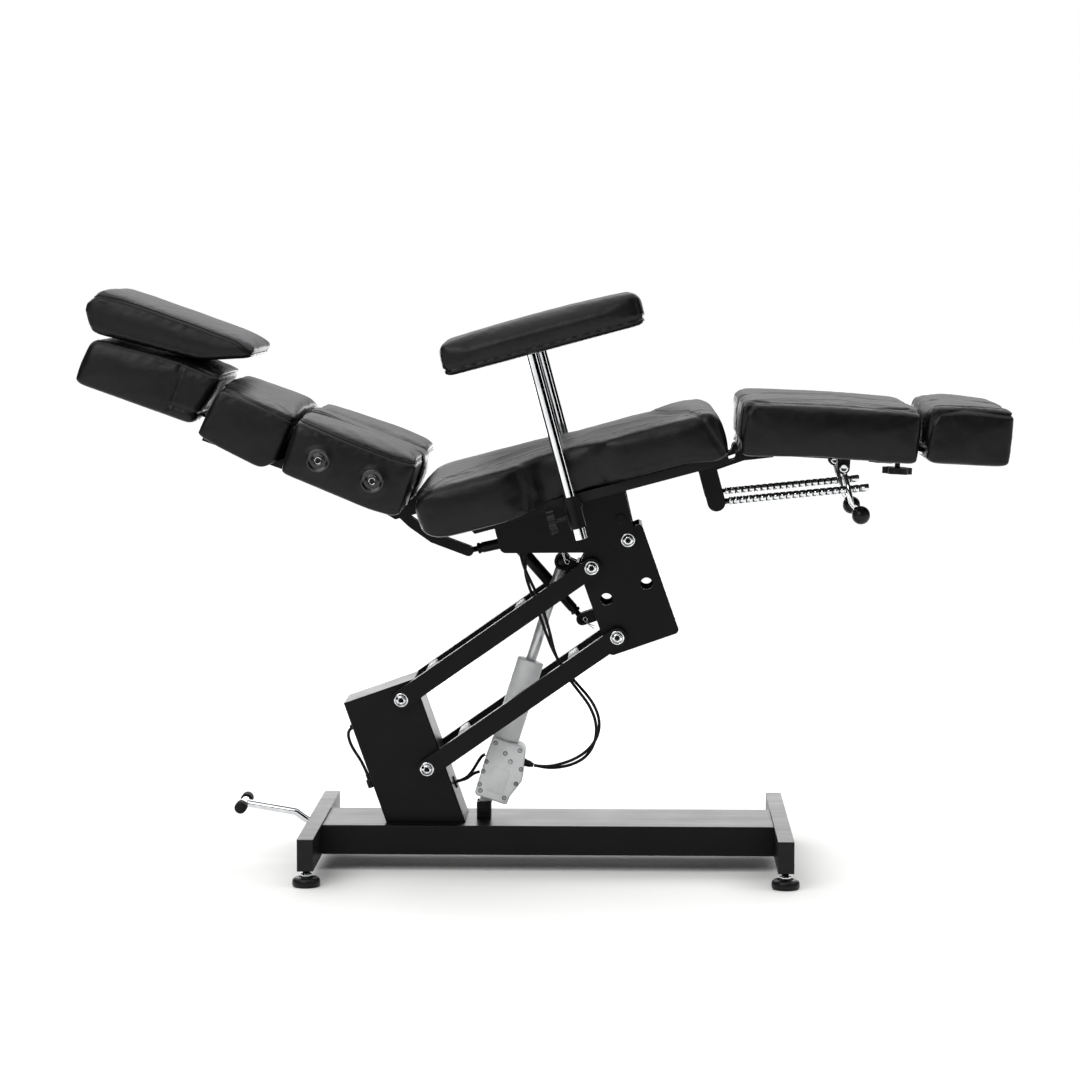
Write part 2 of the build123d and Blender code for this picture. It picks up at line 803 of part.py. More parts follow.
with BuildPart() as seat_carrier:
    carrier_points, carrier_radii = scaled(
        carrier_shares, carrier_left, carrier_low, carrier_length, carrier_height
    )
    carrier_outside = carrier_inside + carrier_wall
    side_body(seat, carrier_points, carrier_radii, 0, 2 * carrier_outside)
    side_box(
        seat,
        carrier_left - overrun,
        carrier_left + carrier_length + overrun,
        carrier_low - overrun,
        board_low - carrier_wall,
        -carrier_inside,
        carrier_inside,
        mode=Mode.SUBTRACT,
    )
    cross_pin(seat, 0, 0, pin_radius + running_fit, -2 * arm_inside, 2 * arm_inside, mode=Mode.SUBTRACT)
    for way in (-1, 1):
        stud = sorted((way * (carrier_inside - carrier_wall), way * (carrier_outside + bolt_head)))
        cross_pin(seat, back_stud_along, back_stud_up, carrier_bolt_radius, *stud)
        middle = tilt_y + way * (tilt_eye_width / 2 + side_gap + tilt_lug_width / 2)
        lug = [middle - tilt_lug_width / 2, middle + tilt_lug_width / 2]
        side_box(
            seat,
            tilt_pivot_along - tilt_lug_radius,
            tilt_pivot_along + tilt_lug_radius,
            tilt_pivot_up,
            board_low - carrier_wall,
            *lug,
        )
        cross_pin(seat, tilt_pivot_along, tilt_pivot_up, tilt_lug_radius, *lug)
    lug_half = tilt_eye_width / 2 + side_gap + tilt_lug_width
    cross_pin(seat, tilt_pivot_along, tilt_pivot_up, tilt_pin_radius, tilt_y - lug_half, tilt_y + lug_half)
export(seat_carrier.part, "seat_carrier")

# Seat board and the brackets bolted under it
board_thickness = 18
board_left = -262
board_right = 222
board_half_width = 230
hinge_y = 130  # the plane of the back arms, the latch cheeks and the ratchet rods
hinge_arm_width = 6
hinge_pin_radius = 8
hinge_hub_radius = 18
support_wall = 4
support_middle = 180
support_half_length = 17
ratchet_pivot_up = 32
ratchet_eye_width = 12
leg_pin_radius = 6
leg_ear_radius = 10
leg_ear_width = 6
leg_ear_place = 24
bracket_depth = 12

with BuildPart() as seat_board:
    side_box(
        seat,
        board_left,
        board_right,
        board_low,
        board_low + board_thickness,
        -board_half_width,
        board_half_width,
    )
export(seat_board.part, "seat_board")

with BuildPart() as board_brackets:
    for side in (-1, 1):
        for way in (-1, 1):
            middle = side * hinge_y + way * (ratchet_eye_width / 2 + side_gap + support_wall / 2)
            ends = [middle - support_wall / 2, middle + support_wall / 2]
            side_box(
                seat,
                support_middle - support_half_length,
                support_middle + support_half_length,
                ratchet_pivot_up,
                board_low,
                *ends,
            )
            cross_pin(seat, support_middle, ratchet_pivot_up, support_half_length, *ends)
            ear_middle = side * hinge_y + way * leg_ear_place
            ear = [ear_middle - leg_ear_width / 2, ear_middle + leg_ear_width / 2]
            ear_points = [
                (support_middle, board_low),
                (support_middle, board_low - bracket_depth),
                (leg_pivot_along, leg_pivot_up - leg_ear_radius),
                (leg_pivot_along, leg_pivot_up + leg_ear_radius),
                (board_right + bracket_depth, board_low),
            ]
            side_block(seat, ear_points, ear_middle, leg_ear_width)
            cross_pin(seat, leg_pivot_along, leg_pivot_up, leg_ear_radius, *ear)
            cross_pin(
                seat, leg_pivot_along, leg_pivot_up, leg_pin_radius + running_fit, *ear, mode=Mode.SUBTRACT
            )
        pin_half = ratchet_eye_width / 2 + side_gap + support_wall
        ends = [side * hinge_y - pin_half, side * hinge_y + pin_half]
        cross_pin(seat, support_middle, ratchet_pivot_up, leg_pin_radius, *ends)
        hub_middle = side * (hinge_y + hinge_arm_width + side_gap)
        hub = [hub_middle - hinge_arm_width / 2, hub_middle + hinge_arm_width / 2]
        lug_points = [
            (board_left - side_gap, board_low),
            (board_left + 4 * bracket_depth, board_low),
            (board_left + 4 * bracket_depth, board_low - bracket_depth),
            (board_left - bracket_depth, board_low - bracket_depth),
            (back_pivot_along - hinge_hub_radius, back_pivot_up),
            (back_pivot_along + hinge_hub_radius, back_pivot_up),
            (board_left - side_gap, board_low + board_thickness),
        ]
        side_block(seat, lug_points, hub_middle, hinge_arm_width)
        cross_pin(seat, back_pivot_along, back_pivot_up, hinge_hub_radius, *hub)
        cross_pin(
            seat, back_pivot_along, back_pivot_up, hinge_pin_radius + running_fit, *hub, mode=Mode.SUBTRACT
        )
export(board_brackets.part, "board_brackets")

# Arm sockets: a sleeve outside the board on each side, clamped by a knob
post_along = -78
post_y = 252
post_radius = 11
sleeve_radius = 15
sleeve_low = 60
sleeve_high = 120
socket_plate = 8
socket_half_length = 17
clamp_up = 84
clamp_screw_radius = 4
clamp_reach = 44  # from the post's axis to the middle of the knob
knob_thickness = 14
knob_radius = 23

with BuildPart() as arm_sockets:
    for side in (-1, 1):
        inner = board_half_width - 3 * socket_plate
        ends = sorted((side * inner, side * post_y))
        side_box(
            seat,
            post_along - socket_half_length,
            post_along + socket_half_length,
            board_low - socket_plate,
            board_low,
            *ends,
        )
        rod(
            place(seat, post_along, sleeve_low, side * post_y),
            place(seat, post_along, sleeve_high, side * post_y),
            sleeve_radius,
        )
        rod(
            place(seat, post_along - sleeve_radius - clamp_screw_radius, clamp_up, side * post_y),
            place(seat, post_along, clamp_up, side * post_y),
            2 * clamp_screw_radius,
        )
        rod(
            place(seat, post_along, sleeve_low - overrun, side * post_y),
            place(seat, post_along, sleeve_high + overrun, side * post_y),
            post_radius + running_fit,
            mode=Mode.SUBTRACT,
        )
        rod(
            place(seat, post_along - 2 * overrun, clamp_up, side * post_y),
            place(seat, post_along, clamp_up, side * post_y),
            clamp_screw_radius + running_fit,
            mode=Mode.SUBTRACT,
        )
export(arm_sockets.part, "arm_sockets")

# Seat cushion: its rear edge is a half round about the back hinge
cushion_low = 103
cushion_depth = 124
cushion_shares = [
    (0, 0.02, 0.36),
    (0.26, 0, 0.16),
    (0.54, 0.14, 0.16),
    (0.86, 0.14, 0.12),
    (0.95, 0.05, 0.1),
    (1, 0.05, 0.18),
    (1, 1, 0.44),
    (0, 1, 0.47),
]
cushion_half_width = 280
cushion_front_half = 262
cushion_waist_half = 236
waist_shares = [0.33, 0.4, 0.57, 0.64]
cushion_corner = 24
cushion_edge_drop = 22
seat_crest = cushion_low + cushion_depth
nose_slot_radius = 95

with BuildPart() as seat_cushion:
    cushion_points, cushion_radii = scaled(
        cushion_shares, cushion_left, cushion_low, cushion_length, cushion_depth
    )
    side_body(seat, cushion_points, cushion_radii, 0, 2 * cushion_half_width)
    crown(
        seat,
        0,
        2 * cushion_half_width,
        cushion_low - overrun,
        seat_crest - cushion_edge_drop,
        seat_crest,
        cushion_corner / 2,
    )
    cushion_right = cushion_left + cushion_length
    waist = [cushion_left + share * cushion_length for share in waist_shares]
    half_plan = [
        (cushion_left, cushion_half_width),
        (waist[0], cushion_half_width),
        (waist[1], cushion_waist_half),
        (waist[2], cushion_waist_half),
        (waist[3], cushion_front_half),
        (cushion_right, cushion_front_half),
    ]
    plan(seat, half_plan + [(u, -y) for u, y in reversed(half_plan)], cushion_corner)
    side_box(
        seat,
        board_left,
        board_right,
        board_low - overrun,
        board_low + board_thickness,
        -board_half_width,
        board_half_width,
        mode=Mode.SUBTRACT,
    )
    for side in (-1, 1):
        slot_ends = sorted(
            (
                side * (hinge_y - hinge_arm_width / 2 - 2 * side_gap),
                side * (hinge_y + 1.5 * hinge_arm_width + 3 * side_gap),
            )
        )
        slot_points = [
            (back_pivot_along + hinge_hub_radius, seat_crest + overrun),
            (back_pivot_along - nose_slot_radius, seat_crest + overrun),
            (back_pivot_along - nose_slot_radius, back_pivot_up - nose_slot_radius),
            (board_left + side_gap, back_pivot_up - nose_slot_radius),
            (board_left + side_gap, board_low + board_thickness),
        ]
        slot_middle = (slot_ends[0] + slot_ends[1]) / 2
        side_block(seat, slot_points, slot_middle, slot_ends[1] - slot_ends[0], mode=Mode.SUBTRACT)
export(seat_cushion.part, "seat_cushion")

# Tilt actuator between the carrier and the bracket
tilt_tube_radius = 11
tilt_rod_radius = 5.5
tilt_housing_length = 140
tilt_bore_start = 20
tilt_rod_length = 138
tilt_top = place(seat, tilt_pivot_along, tilt_pivot_up, tilt_y)
tilt_bottom = Vector(tilt_eye_x, tilt_y, tilt_eye_z)
tilt_way = (tilt_bottom - tilt_top).normalized()

with BuildPart() as tilt_housing:
    rod(tilt_top, tilt_top + tilt_way * tilt_housing_length, tilt_tube_radius)
    eye = [tilt_y - tilt_eye_width / 2, tilt_y + tilt_eye_width / 2]
    cross_pin(seat, tilt_pivot_along, tilt_pivot_up, 1.1 * tilt_tube_radius, *eye)
    for way in (-1, 1):
        side_box(
            seat,
            tilt_pivot_along - tilt_lug_radius - side_gap,
            tilt_pivot_along + tilt_lug_radius + side_gap,
            tilt_pivot_up - tilt_lug_radius - side_gap,
            board_low,
            *sorted((tilt_y + way * tilt_eye_width / 2, tilt_y + way * 2 * tilt_eye_width)),
            mode=Mode.SUBTRACT,
        )
    cross_pin(seat, tilt_pivot_along, tilt_pivot_up, tilt_pin_radius + running_fit, *eye, mode=Mode.SUBTRACT)
    rod(
        tilt_top + tilt_way * tilt_bore_start,
        tilt_top + tilt_way * (tilt_housing_length + overrun),
        tilt_rod_radius + running_fit,
        mode=Mode.SUBTRACT,
    )
export(tilt_housing.part, "tilt_housing")

with BuildPart() as tilt_rod:
    rod(tilt_bottom - tilt_way * tilt_rod_length, tilt_bottom - tilt_way * tilt_pin_radius, tilt_rod_radius)
    cross_pin(ground, tilt_eye_x, tilt_eye_z, tilt_lug_radius - side_gap, *eye)
    pin_half = tilt_eye_width / 2 + side_gap + tilt_lug_width + tilt_play
    cross_pin(ground, tilt_eye_x, tilt_eye_z, tilt_pin_radius, tilt_y - pin_half, tilt_y + pin_half)
export(tilt_rod.part, "tilt_rod")

# Back: board, hinge arms and the lever that the back actuator pushes
back_board_left = 85
back_board_right = 470
back_board_low = -50
back_board_thickness = 12
back_board_half = 205
hinge_root_right = 160
hinge_bar = 30
lever_y = -26
lever_eye_width = 12
lever_wall = 5
lever_height = 20
lever_bends = [(110, -56), (60, -78), (10, -92), (-63, -93)]
lever_pin_radius = 5

with BuildPart() as back_board:
    side_box(
        back,
        back_board_left,
        back_board_right,
        back_board_low,
        back_board_low + back_board_thickness,
        -back_board_half,
        back_board_half,
    )
export(back_board.part, "back_board")

with BuildPart() as back_hinges:
    for side in (-1, 1):
        middle = side * hinge_y
        arm_points = [
            (0, hinge_bar / 2),
            (back_board_left, back_board_low),
            (hinge_root_right, back_board_low),
            (hinge_root_right, back_board_low - hinge_bar / 3),
            (back_board_left, back_board_low - 0.8 * hinge_bar),
            (0, -hinge_bar / 2),
        ]
        side_block(back, arm_points, middle, hinge_arm_width)
        arm_ends = [middle - hinge_arm_width / 2, middle + hinge_arm_width / 2]
        cross_pin(back, 0, 0, hinge_hub_radius, *arm_ends)
        pin_inside = hinge_y - hinge_arm_width / 2
        pin_outside = hinge_y + 1.5 * hinge_arm_width + side_gap
        cross_pin(back, 0, 0, hinge_pin_radius, *sorted((side * pin_inside, side * pin_outside)))
    for way in (-1, 1):
        middle = lever_y + way * (lever_eye_width / 2 + side_gap + lever_wall / 2)
        half = lever_height / 2
        upper = [(b, n + half) for b, n in lever_bends[1:]]
        lower = [(b, n - half) for b, n in reversed(lever_bends)]
        root = [(lever_bends[0][0], back_board_low)]
        side_block(back, root + upper + lower, middle, lever_wall)
        pin_b, pin_n = lever_bends[-1]
        cross_pin(back, pin_b, pin_n, half, middle - lever_wall / 2, middle + lever_wall / 2)
    pin_half = lever_eye_width / 2 + side_gap + lever_wall
    cross_pin(back, pin_b, pin_n, lever_pin_radius, lever_y - pin_half, lever_y + pin_half)
export(back_hinges.part, "back_hinges")

# Lumbar bolsters, one each side of the centre strip
lumbar_left = 72
lumbar_low = -61
lumbar_length = 240
lumbar_height = 134
lumbar_inside = 75
lumbar_width = 210
lumbar_edge_drop = 22
lumbar_corner = 14
lumbar_shares = [
    (0, 0.03, 0.09),
    (0.24, 0, 0.15),
    (1, 0.07, 0.05),
    (1, 0.95, 0.1),
    (0.37, 1, 0.45),
    (0, 0.95, 0.18),
]
socket_places = [(248, -5, 30), (142, -7, 33)]  # along, up, depth
socket_radius = 6
ring_radius = 20
ring_height = 3


def board_pocket():
    """Room for the back board and for the hinge arms under it."""
    side_box(
        back,
        back_board_left,
        back_board_right,
        back_board_low - 2 * overrun,
        back_board_low + back_board_thickness,
        -back_board_half,
        back_board_half,
        mode=Mode.SUBTRACT,
    )


for side, lumbar_name in ((-1, "lumbar_pad_near"), (1, "lumbar_pad_far")):
    with BuildPart() as lumbar_pad:
        middle = side * (lumbar_inside + lumbar_width / 2)
        lumbar_points, lumbar_radii = scaled(
            lumbar_shares, lumbar_left, lumbar_low, lumbar_length, lumbar_height
        )
        side_body(back, lumbar_points, lumbar_radii, middle, lumbar_width)
        lumbar_crest = lumbar_low + lumbar_height
        crown(
            back,
            middle,
            lumbar_width,
            lumbar_low - overrun,
            lumbar_crest - lumbar_edge_drop,
            lumbar_crest,
            lumbar_corner,
        )
        board_pocket()
        arm_slot = sorted((side * (hinge_y - hinge_arm_width), side * (hinge_y + hinge_arm_width)))
        side_box(
            back,
            lumbar_left - overrun,
            back_board_left + overrun,
            lumbar_low - overrun,
            back_board_low + 1.3 * hinge_bar,
            *arm_slot,
            mode=Mode.SUBTRACT,
        )
        for b, n, depth in socket_places:
            outer = side * (lumbar_inside + lumbar_width)
            bore = sorted((outer - side * depth, outer + side * overrun))
            cross_pin(back, b, n, socket_radius, *bore, mode=Mode.SUBTRACT)
    export(lumbar_pad.part, lumbar_name)

with BuildPart() as socket_rings:
    for side in (-1, 1):
        outer = lumbar_inside + lumbar_width
        ring = sorted((side * outer, side * (outer + ring_height)))
        for b, n, _ in socket_places:
            cross_pin(back, b, n, ring_radius, *ring)
            cross_pin(back, b, n, socket_radius, *ring, mode=Mode.SUBTRACT)
export(socket_rings.part, "socket_rings")

# Shoulder block, with two bores for the headrest's rods
shoulder_left = 314
shoulder_low = -63
shoulder_length = 170
shoulder_height = 141
shoulder_half_width = 235
shoulder_edge_drop = 23
shoulder_corner = 16
shoulder_shares = [
    (0.04, 0.18, 0.11),
    (0.19, 0, 0.1),
    (0.71, 0.08, 0.21),
    (1, 0.15, 0.06),
    (0.91, 0.99, 0.11),
    (0, 0.99, 0.13),
]
head_rod_y = 60
head_rod_up = -20
head_rod_radius = 6
head_rod_start = 400
head_rod_end = 640

with BuildPart() as shoulder_pad:
    shoulder_points, shoulder_radii = scaled(
        shoulder_shares, shoulder_left, shoulder_low, shoulder_length, shoulder_height
    )
    side_body(back, shoulder_points, shoulder_radii, 0, 2 * shoulder_half_width)
    shoulder_crest = shoulder_low + shoulder_height
    crown(
        back,
        0,
        2 * shoulder_half_width,
        shoulder_low - overrun,
        shoulder_crest - shoulder_edge_drop,
        shoulder_crest,
        shoulder_corner,
    )
    board_pocket()
    for side in (-1, 1):
        rod(
            place(back, head_rod_start - overrun, head_rod_up, side * head_rod_y),
            place(back, shoulder_left + shoulder_length + overrun, head_rod_up, side * head_rod_y),
            head_rod_radius + soft_gap,
            mode=Mode.SUBTRACT,
        )
export(shoulder_pad.part, "shoulder_pad")

# Centre strip between the bolsters
strip_left = 68
strip_low = -38
strip_length = 246
strip_height = 110
strip_half_width = 73
strip_edge_drop = 10
strip_corner = 6
strip_shares = [(0, 0, 0.04), (1, 0, 0.04), (1, 0.98, 0.07), (0.4, 0.91, 0.54), (0, 0.88, 0.12)]

with BuildPart() as centre_pad:
    strip_points, strip_radii = scaled(strip_shares, strip_left, strip_low, strip_length, strip_height)
    side_body(back, strip_points, strip_radii, 0, 2 * strip_half_width)
    strip_crest = strip_low + strip_height
    crown(
        back,
        0,
        2 * strip_half_width,
        strip_low - overrun,
        strip_crest - strip_edge_drop,
        strip_crest,
        strip_corner,
    )
export(centre_pad.part, "centre_pad")

# Headrest: rods, a wedge block and the pillow on it
head_left = 474
head_low = -36
head_length = 270
head_height = 122
head_half_width = 155
head_edge_drop = 12
head_corner = 16
head_shares = [(0.1, 0, 0.07), (1, 0, 0.11), (0.98, 0.79, 0.18), (0.2, 0.97, 0.33), (0, 1, 0.08)]
pillow_left = 437
pillow_low = 62
pillow_length = 339
pillow_height = 98
pillow_half_width = 142
pillow_edge_drop = 12
pillow_corner = 14
pillow_shares = [
    (0.9, 0, 0.16),
    (0.27, 0.21, 0.31),
    (0, 0.6, 0.12),
    (0, 0.9, 0.14),
    (0.13, 0.99, 0.31),
    (0.91, 0.97, 0.27),
    (1, 0.5, 0.24),
]

with BuildPart() as head_rods:
    for side in (-1, 1):
        rod(
            place(back, head_rod_start, head_rod_up, side * head_rod_y),
            place(back, head_rod_end, head_rod_up, side * head_rod_y),
            head_rod_radius,
        )
export(head_rods.part, "head_rods")

with BuildPart() as head_pad:
    head_points, head_radii = scaled(head_shares, head_left, head_low, head_length, head_height)
    side_body(back, head_points, head_radii, 0, 2 * head_half_width)
    crown(
        back,
        0,
        2 * head_half_width,
        head_low - overrun,
        head_low + head_height - head_edge_drop,
        head_low + head_height,
        head_corner,
    )
    for side in (-1, 1):
        rod(
            place(back, head_left - overrun, head_rod_up, side * head_rod_y),
            place(back, head_rod_end, head_rod_up, side * head_rod_y),
            head_rod_radius,
            mode=Mode.SUBTRACT,
        )
export(head_pad.part, "head_pad")

with BuildPart() as head_cushion:
    pillow_points, pillow_radii = scaled(
        pillow_shares, pillow_left, pillow_low, pillow_length, pillow_height
    )
    side_body(back, pillow_points, pillow_radii, 0, 2 * pillow_half_width)
    pillow_crest = pillow_low + pillow_height
    crown(
        back,
        0,
        2 * pillow_half_width,
        pillow_low - overrun,
        pillow_crest - pillow_edge_drop,
        pillow_crest,
        pillow_corner,
    )
export(head_cushion.part, "head_cushion")

# Back actuator: its rod is pinned to the lever, its housing slides on the rod
back_tube_radius = 12
back_rod_radius = 6
back_housing_length = 205
back_rod_length = 205
back_bore_start = 15
lever_pin = place(back, *lever_bends[-1], lever_y)
back_stud = place(seat, back_stud_along, back_stud_up, lever_y)
back_way = (back_stud - lever_pin).normalized()

with BuildPart() as back_rod:
    rod(lever_pin + back_way * lever_pin_radius, lever_pin + back_way * back_rod_length, back_rod_radius)
    eye = [lever_y - lever_eye_width / 2, lever_y + lever_eye_width / 2]
    cross_pin(back, *lever_bends[-1], lever_height / 2, *eye)
    cross_pin(back, *lever_bends[-1], lever_pin_radius + running_fit, *eye, mode=Mode.SUBTRACT)
export(back_rod.part, "back_rod")

with BuildPart() as back_housing:
    housing_open = back_stud - back_way * back_housing_length
    rod(housing_open, back_stud, back_tube_radius)
    rod(
        housing_open - back_way * overrun,
        back_stud - back_way * back_bore_start,
        back_rod_radius + running_fit,
        mode=Mode.SUBTRACT,
    )
export(back_housing.part, "back_housing")

# Legs: each has a board with hinge ears and a clevis, a pad, a latch and a ratchet rod
leg_middle = 134
leg_width = 256
leg_board_left = 20
leg_board_right = 300
leg_board_low = 8
leg_board_thickness = 8
leg_board_half = 104
leg_ear_inside = 17.5
latch_along = 192
latch_up = -13
latch_pin_radius = 5
clevis_half_length = 12
clevis_wall = 4
cheek_wall = 3
cheek_half = 9
cheek_gap = 1.5
latch_length = 74
latch_pin_reach = 62
latch_lean = 17
latch_knob_radius = 17
latch_knob_along = 231
latch_knob_up = -101
latch_rod_radius = 4
ratchet_radius = 7.5
ratchet_length = 287
ratchet_slope = 5.6
ratchet_eye_radius = 11
ratchet_neck_radius = 5.5
ratchet_neck = 24
groove_first = 130
groove_pitch = 12.5
groove_count = 12
groove_depth = 1.2
groove_width = 3
foot_knob_along = 290
foot_knob_y = 170
foot_knob_radius = 28
foot_knob_low = -17
foot_knob_thickness = 12
foot_screw_radius = 5
leg_left = -12
leg_low = 2
leg_length = 338
leg_height = 118
leg_edge_drop = 17
leg_corner = 12
leg_shares = [
    (0.01, 0, 0.12),
    (0.49, 0.05, 0.51),
    (0.99, 0.01, 0.1),
    (1, 0.94, 0.14),
    (0.48, 1, 0.51),
    (0, 0.97, 0.22),
]
foot_left = 330
foot_low = 8
foot_length = 165
foot_height = 120
foot_edge_drop = 14
foot_corner = 14
foot_shares = [(0, 0, 0.17), (0.98, 0.01, 0.12), (1, 0.91, 0.12), (0.3, 1, 0.5), (0, 0.88, 0.17)]
foot_rod_y = 60
foot_rod_up = 30
foot_rod_radius = 6
foot_rod_start = 200
foot_rod_end = 440
far_foot_out = 12
ratchet_foot = place(seat, support_middle, ratchet_pivot_up)
ratchet = side_frame(ratchet_foot.X, ratchet_foot.Z, ratchet_slope)
latch_top = place(leg, latch_along, latch_up)
latch = side_frame(latch_top.X, latch_top.Z, leg_angle - 90 + latch_lean)


def star_knob(plane, radius, thickness):
    """A round knob with six finger lobes."""
    with BuildSketch(plane) as star:
        Circle(0.8 * radius)
        with PolarLocations(0.7 * radius, 6):
            Circle(0.3 * radius)
    extrude(star.sketch, amount=thickness)


def leg_pieces(side, word, foot_out):
    """All pieces of one leg; side is -1 for the near leg."""
    middle = side * leg_middle
    plane_y = side * hinge_y
    with BuildPart() as leg_frame:
        side_box(
            leg,
            leg_board_left,
            leg_board_right,
            leg_board_low,
            leg_board_low + leg_board_thickness,
            middle - leg_board_half,
            middle + leg_board_half,
        )
        for way in (-1, 1):
            ear_middle = plane_y + way * leg_ear_inside
            ear = [ear_middle - leg_ear_width / 2, ear_middle + leg_ear_width / 2]
            ear_points = [
                (0, leg_ear_radius),
                (leg_board_left, leg_board_low),
                (3 * leg_board_left, leg_board_low),
                (3 * leg_board_left, 0),
                (0, -leg_ear_radius),
            ]
            side_block(leg, ear_points, ear_middle, leg_ear_width)
            cross_pin(leg, 0, 0, leg_ear_radius, *ear)
            wall_middle = plane_y + way * (ratchet_radius + cheek_gap + cheek_wall + side_gap + clevis_wall / 2)
            wall = [wall_middle - clevis_wall / 2, wall_middle + clevis_wall / 2]
            wall_ends = [latch_along - clevis_half_length, latch_along + clevis_half_length]
            side_box(leg, *wall_ends, latch_up, leg_board_low, *wall)
            cross_pin(leg, latch_along, latch_up, clevis_half_length, *wall)
        ear_pin = leg_ear_place + leg_ear_width / 2 + leg_ear_width / 3
        cross_pin(leg, 0, 0, leg_pin_radius, plane_y - ear_pin, plane_y + ear_pin)
        latch_pin = ratchet_radius + cheek_gap + cheek_wall + side_gap + 1.5 * clevis_wall
        cross_pin(leg, latch_along, latch_up, latch_pin_radius, plane_y - latch_pin, plane_y + latch_pin)
        rod(
            place(leg, foot_knob_along, -overrun, side * foot_knob_y),
            place(leg, foot_knob_along, overrun, side * foot_knob_y),
            foot_screw_radius + running_fit,
            mode=Mode.SUBTRACT,
        )
    export(leg_frame.part, f"leg_frame_{word}")

    with BuildPart() as leg_pad:
        leg_points, leg_radii = scaled(leg_shares, leg_left, leg_low, leg_length, leg_height)
        side_body(leg, leg_points, leg_radii, middle, leg_width)
        leg_crest = leg_low + leg_height
        crown(leg, middle, leg_width, leg_low - overrun, leg_crest - leg_edge_drop, leg_crest, leg_corner)
        side_box(
            leg,
            leg_board_left,
            leg_board_right,
            leg_low - overrun,
            leg_board_low + leg_board_thickness,
            middle - leg_board_half,
            middle + leg_board_half,
            mode=Mode.SUBTRACT,
        )
        side_box(
            leg,
            leg_left - overrun,
            leg_board_left,
            leg_low - overrun,
            1.4 * leg_ear_radius,
            plane_y - 1.2 * ear_pin,
            plane_y + 1.2 * ear_pin,
            mode=Mode.SUBTRACT,
        )
        for way in (-1, 1):
            rod(
                place(leg, foot_rod_start - overrun, foot_rod_up, middle + way * foot_rod_y),
                place(leg, leg_left + leg_length + overrun, foot_rod_up, middle + way * foot_rod_y),
                foot_rod_radius + soft_gap,
                mode=Mode.SUBTRACT,
            )
    export(leg_pad.part, f"leg_pad_{word}")

    with BuildPart() as latch_lever:
        for way in (-1, 1):
            cheek_middle = plane_y + way * (ratchet_radius + cheek_gap + cheek_wall / 2)
            cheek = [cheek_middle - cheek_wall / 2, cheek_middle + cheek_wall / 2]
            link(latch, 0, 0, latch_length, cheek_half, cheek_middle, cheek_wall)
            cross_pin(latch, 0, 0, latch_pin_radius + running_fit, *cheek, mode=Mode.SUBTRACT)
        block_half = ratchet_radius + cheek_gap
        cross_pin(latch, latch_pin_reach, 0, cheek_wall, plane_y - block_half, plane_y + block_half)
        cross_pin(latch, latch_length, 0, 2 * latch_rod_radius, plane_y - block_half, plane_y + block_half)
        knob_middle = place(leg, latch_knob_along, latch_knob_up, plane_y)
        rod(place(latch, latch_length, 0, plane_y), knob_middle, latch_rod_radius)
        with Locations(knob_middle):
            Sphere(latch_knob_radius)
    export(latch_lever.part, f"latch_lever_{word}")

    with BuildPart() as ratchet_rod:
        with BuildSketch(at_y(ratchet, plane_y)) as half_rod:
            with BuildLine():
                profile = [(ratchet_neck, 0), (ratchet_neck, ratchet_radius)]
                for number in range(groove_count):
                    start = groove_first + number * groove_pitch
                    profile += [
                        (start, ratchet_radius),
                        (start, ratchet_radius - groove_depth),
                        (start + groove_width, ratchet_radius - groove_depth),
                        (start + groove_width, ratchet_radius),
                    ]
                profile += [(ratchet_length, ratchet_radius), (ratchet_length, 0)]
                Polyline(*profile, close=True)
            make_face()
        ratchet_axis = place(ratchet, 1, 0) - place(ratchet, 0, 0)
        revolve(half_rod.sketch, axis=Axis(place(ratchet, 0, 0, plane_y), ratchet_axis))
        rod(place(ratchet, 0, 0, plane_y), place(ratchet, ratchet_neck, 0, plane_y), ratchet_neck_radius)
        eye = [plane_y - ratchet_eye_width / 2, plane_y + ratchet_eye_width / 2]
        cross_pin(ratchet, 0, 0, ratchet_eye_radius, *eye)
        cross_pin(ratchet, 0, 0, leg_pin_radius + running_fit, *eye, mode=Mode.SUBTRACT)
    export(ratchet_rod.part, f"ratchet_rod_{word}")

    with BuildPart() as foot_pad:
        foot_points, foot_radii = scaled(
            foot_shares, foot_left + foot_out, foot_low, foot_length, foot_height
        )
        side_body(leg, foot_points, foot_radii, middle, leg_width)
        foot_crest = foot_low + foot_height
        crown(leg, middle, leg_width, foot_low - overrun, foot_crest - foot_edge_drop, foot_crest, foot_corner)
        for way in (-1, 1):
            rod(
                place(leg, foot_rod_start + foot_out, foot_rod_up, middle + way * foot_rod_y),
                place(leg, foot_rod_end + foot_out, foot_rod_up, middle + way * foot_rod_y),
                foot_rod_radius,
            )
    export(foot_pad.part, f"foot_pad_{word}")

    with BuildPart() as foot_knob:
        knob_start = place(leg, foot_knob_along, foot_knob_low, side * foot_knob_y)
        knob_plane = Plane(origin=knob_start, x_dir=leg.x_dir, z_dir=leg.y_dir)
        star_knob(knob_plane, foot_knob_radius, foot_knob_thickness)
        screw_end = leg_board_low + leg_board_thickness - side_gap
        rod(knob_start, place(leg, foot_knob_along, screw_end, side * foot_knob_y), foot_screw_radius)
    export(foot_knob.part, f"foot_knob_{word}")


leg_pieces(-1, "near", 0)
leg_pieces(1, "far", far_foot_out)

# Armrests: post, pad and clamp knob on each side
post_low = 39
pad_low = 391
post_in_pad = 20
arm_pad_left = -245
arm_pad_length = 388
arm_pad_height = 68
arm_pad_width = 110
arm_pad_edge_drop = 6
arm_pad_corner = 14
arm_pad_end_radius = 26
arm_shares = [(0, 0, 0.21), (1, 0, 0.21), (1, 1, 0.35), (0, 1, 0.35)]
far_arm_drop = 10


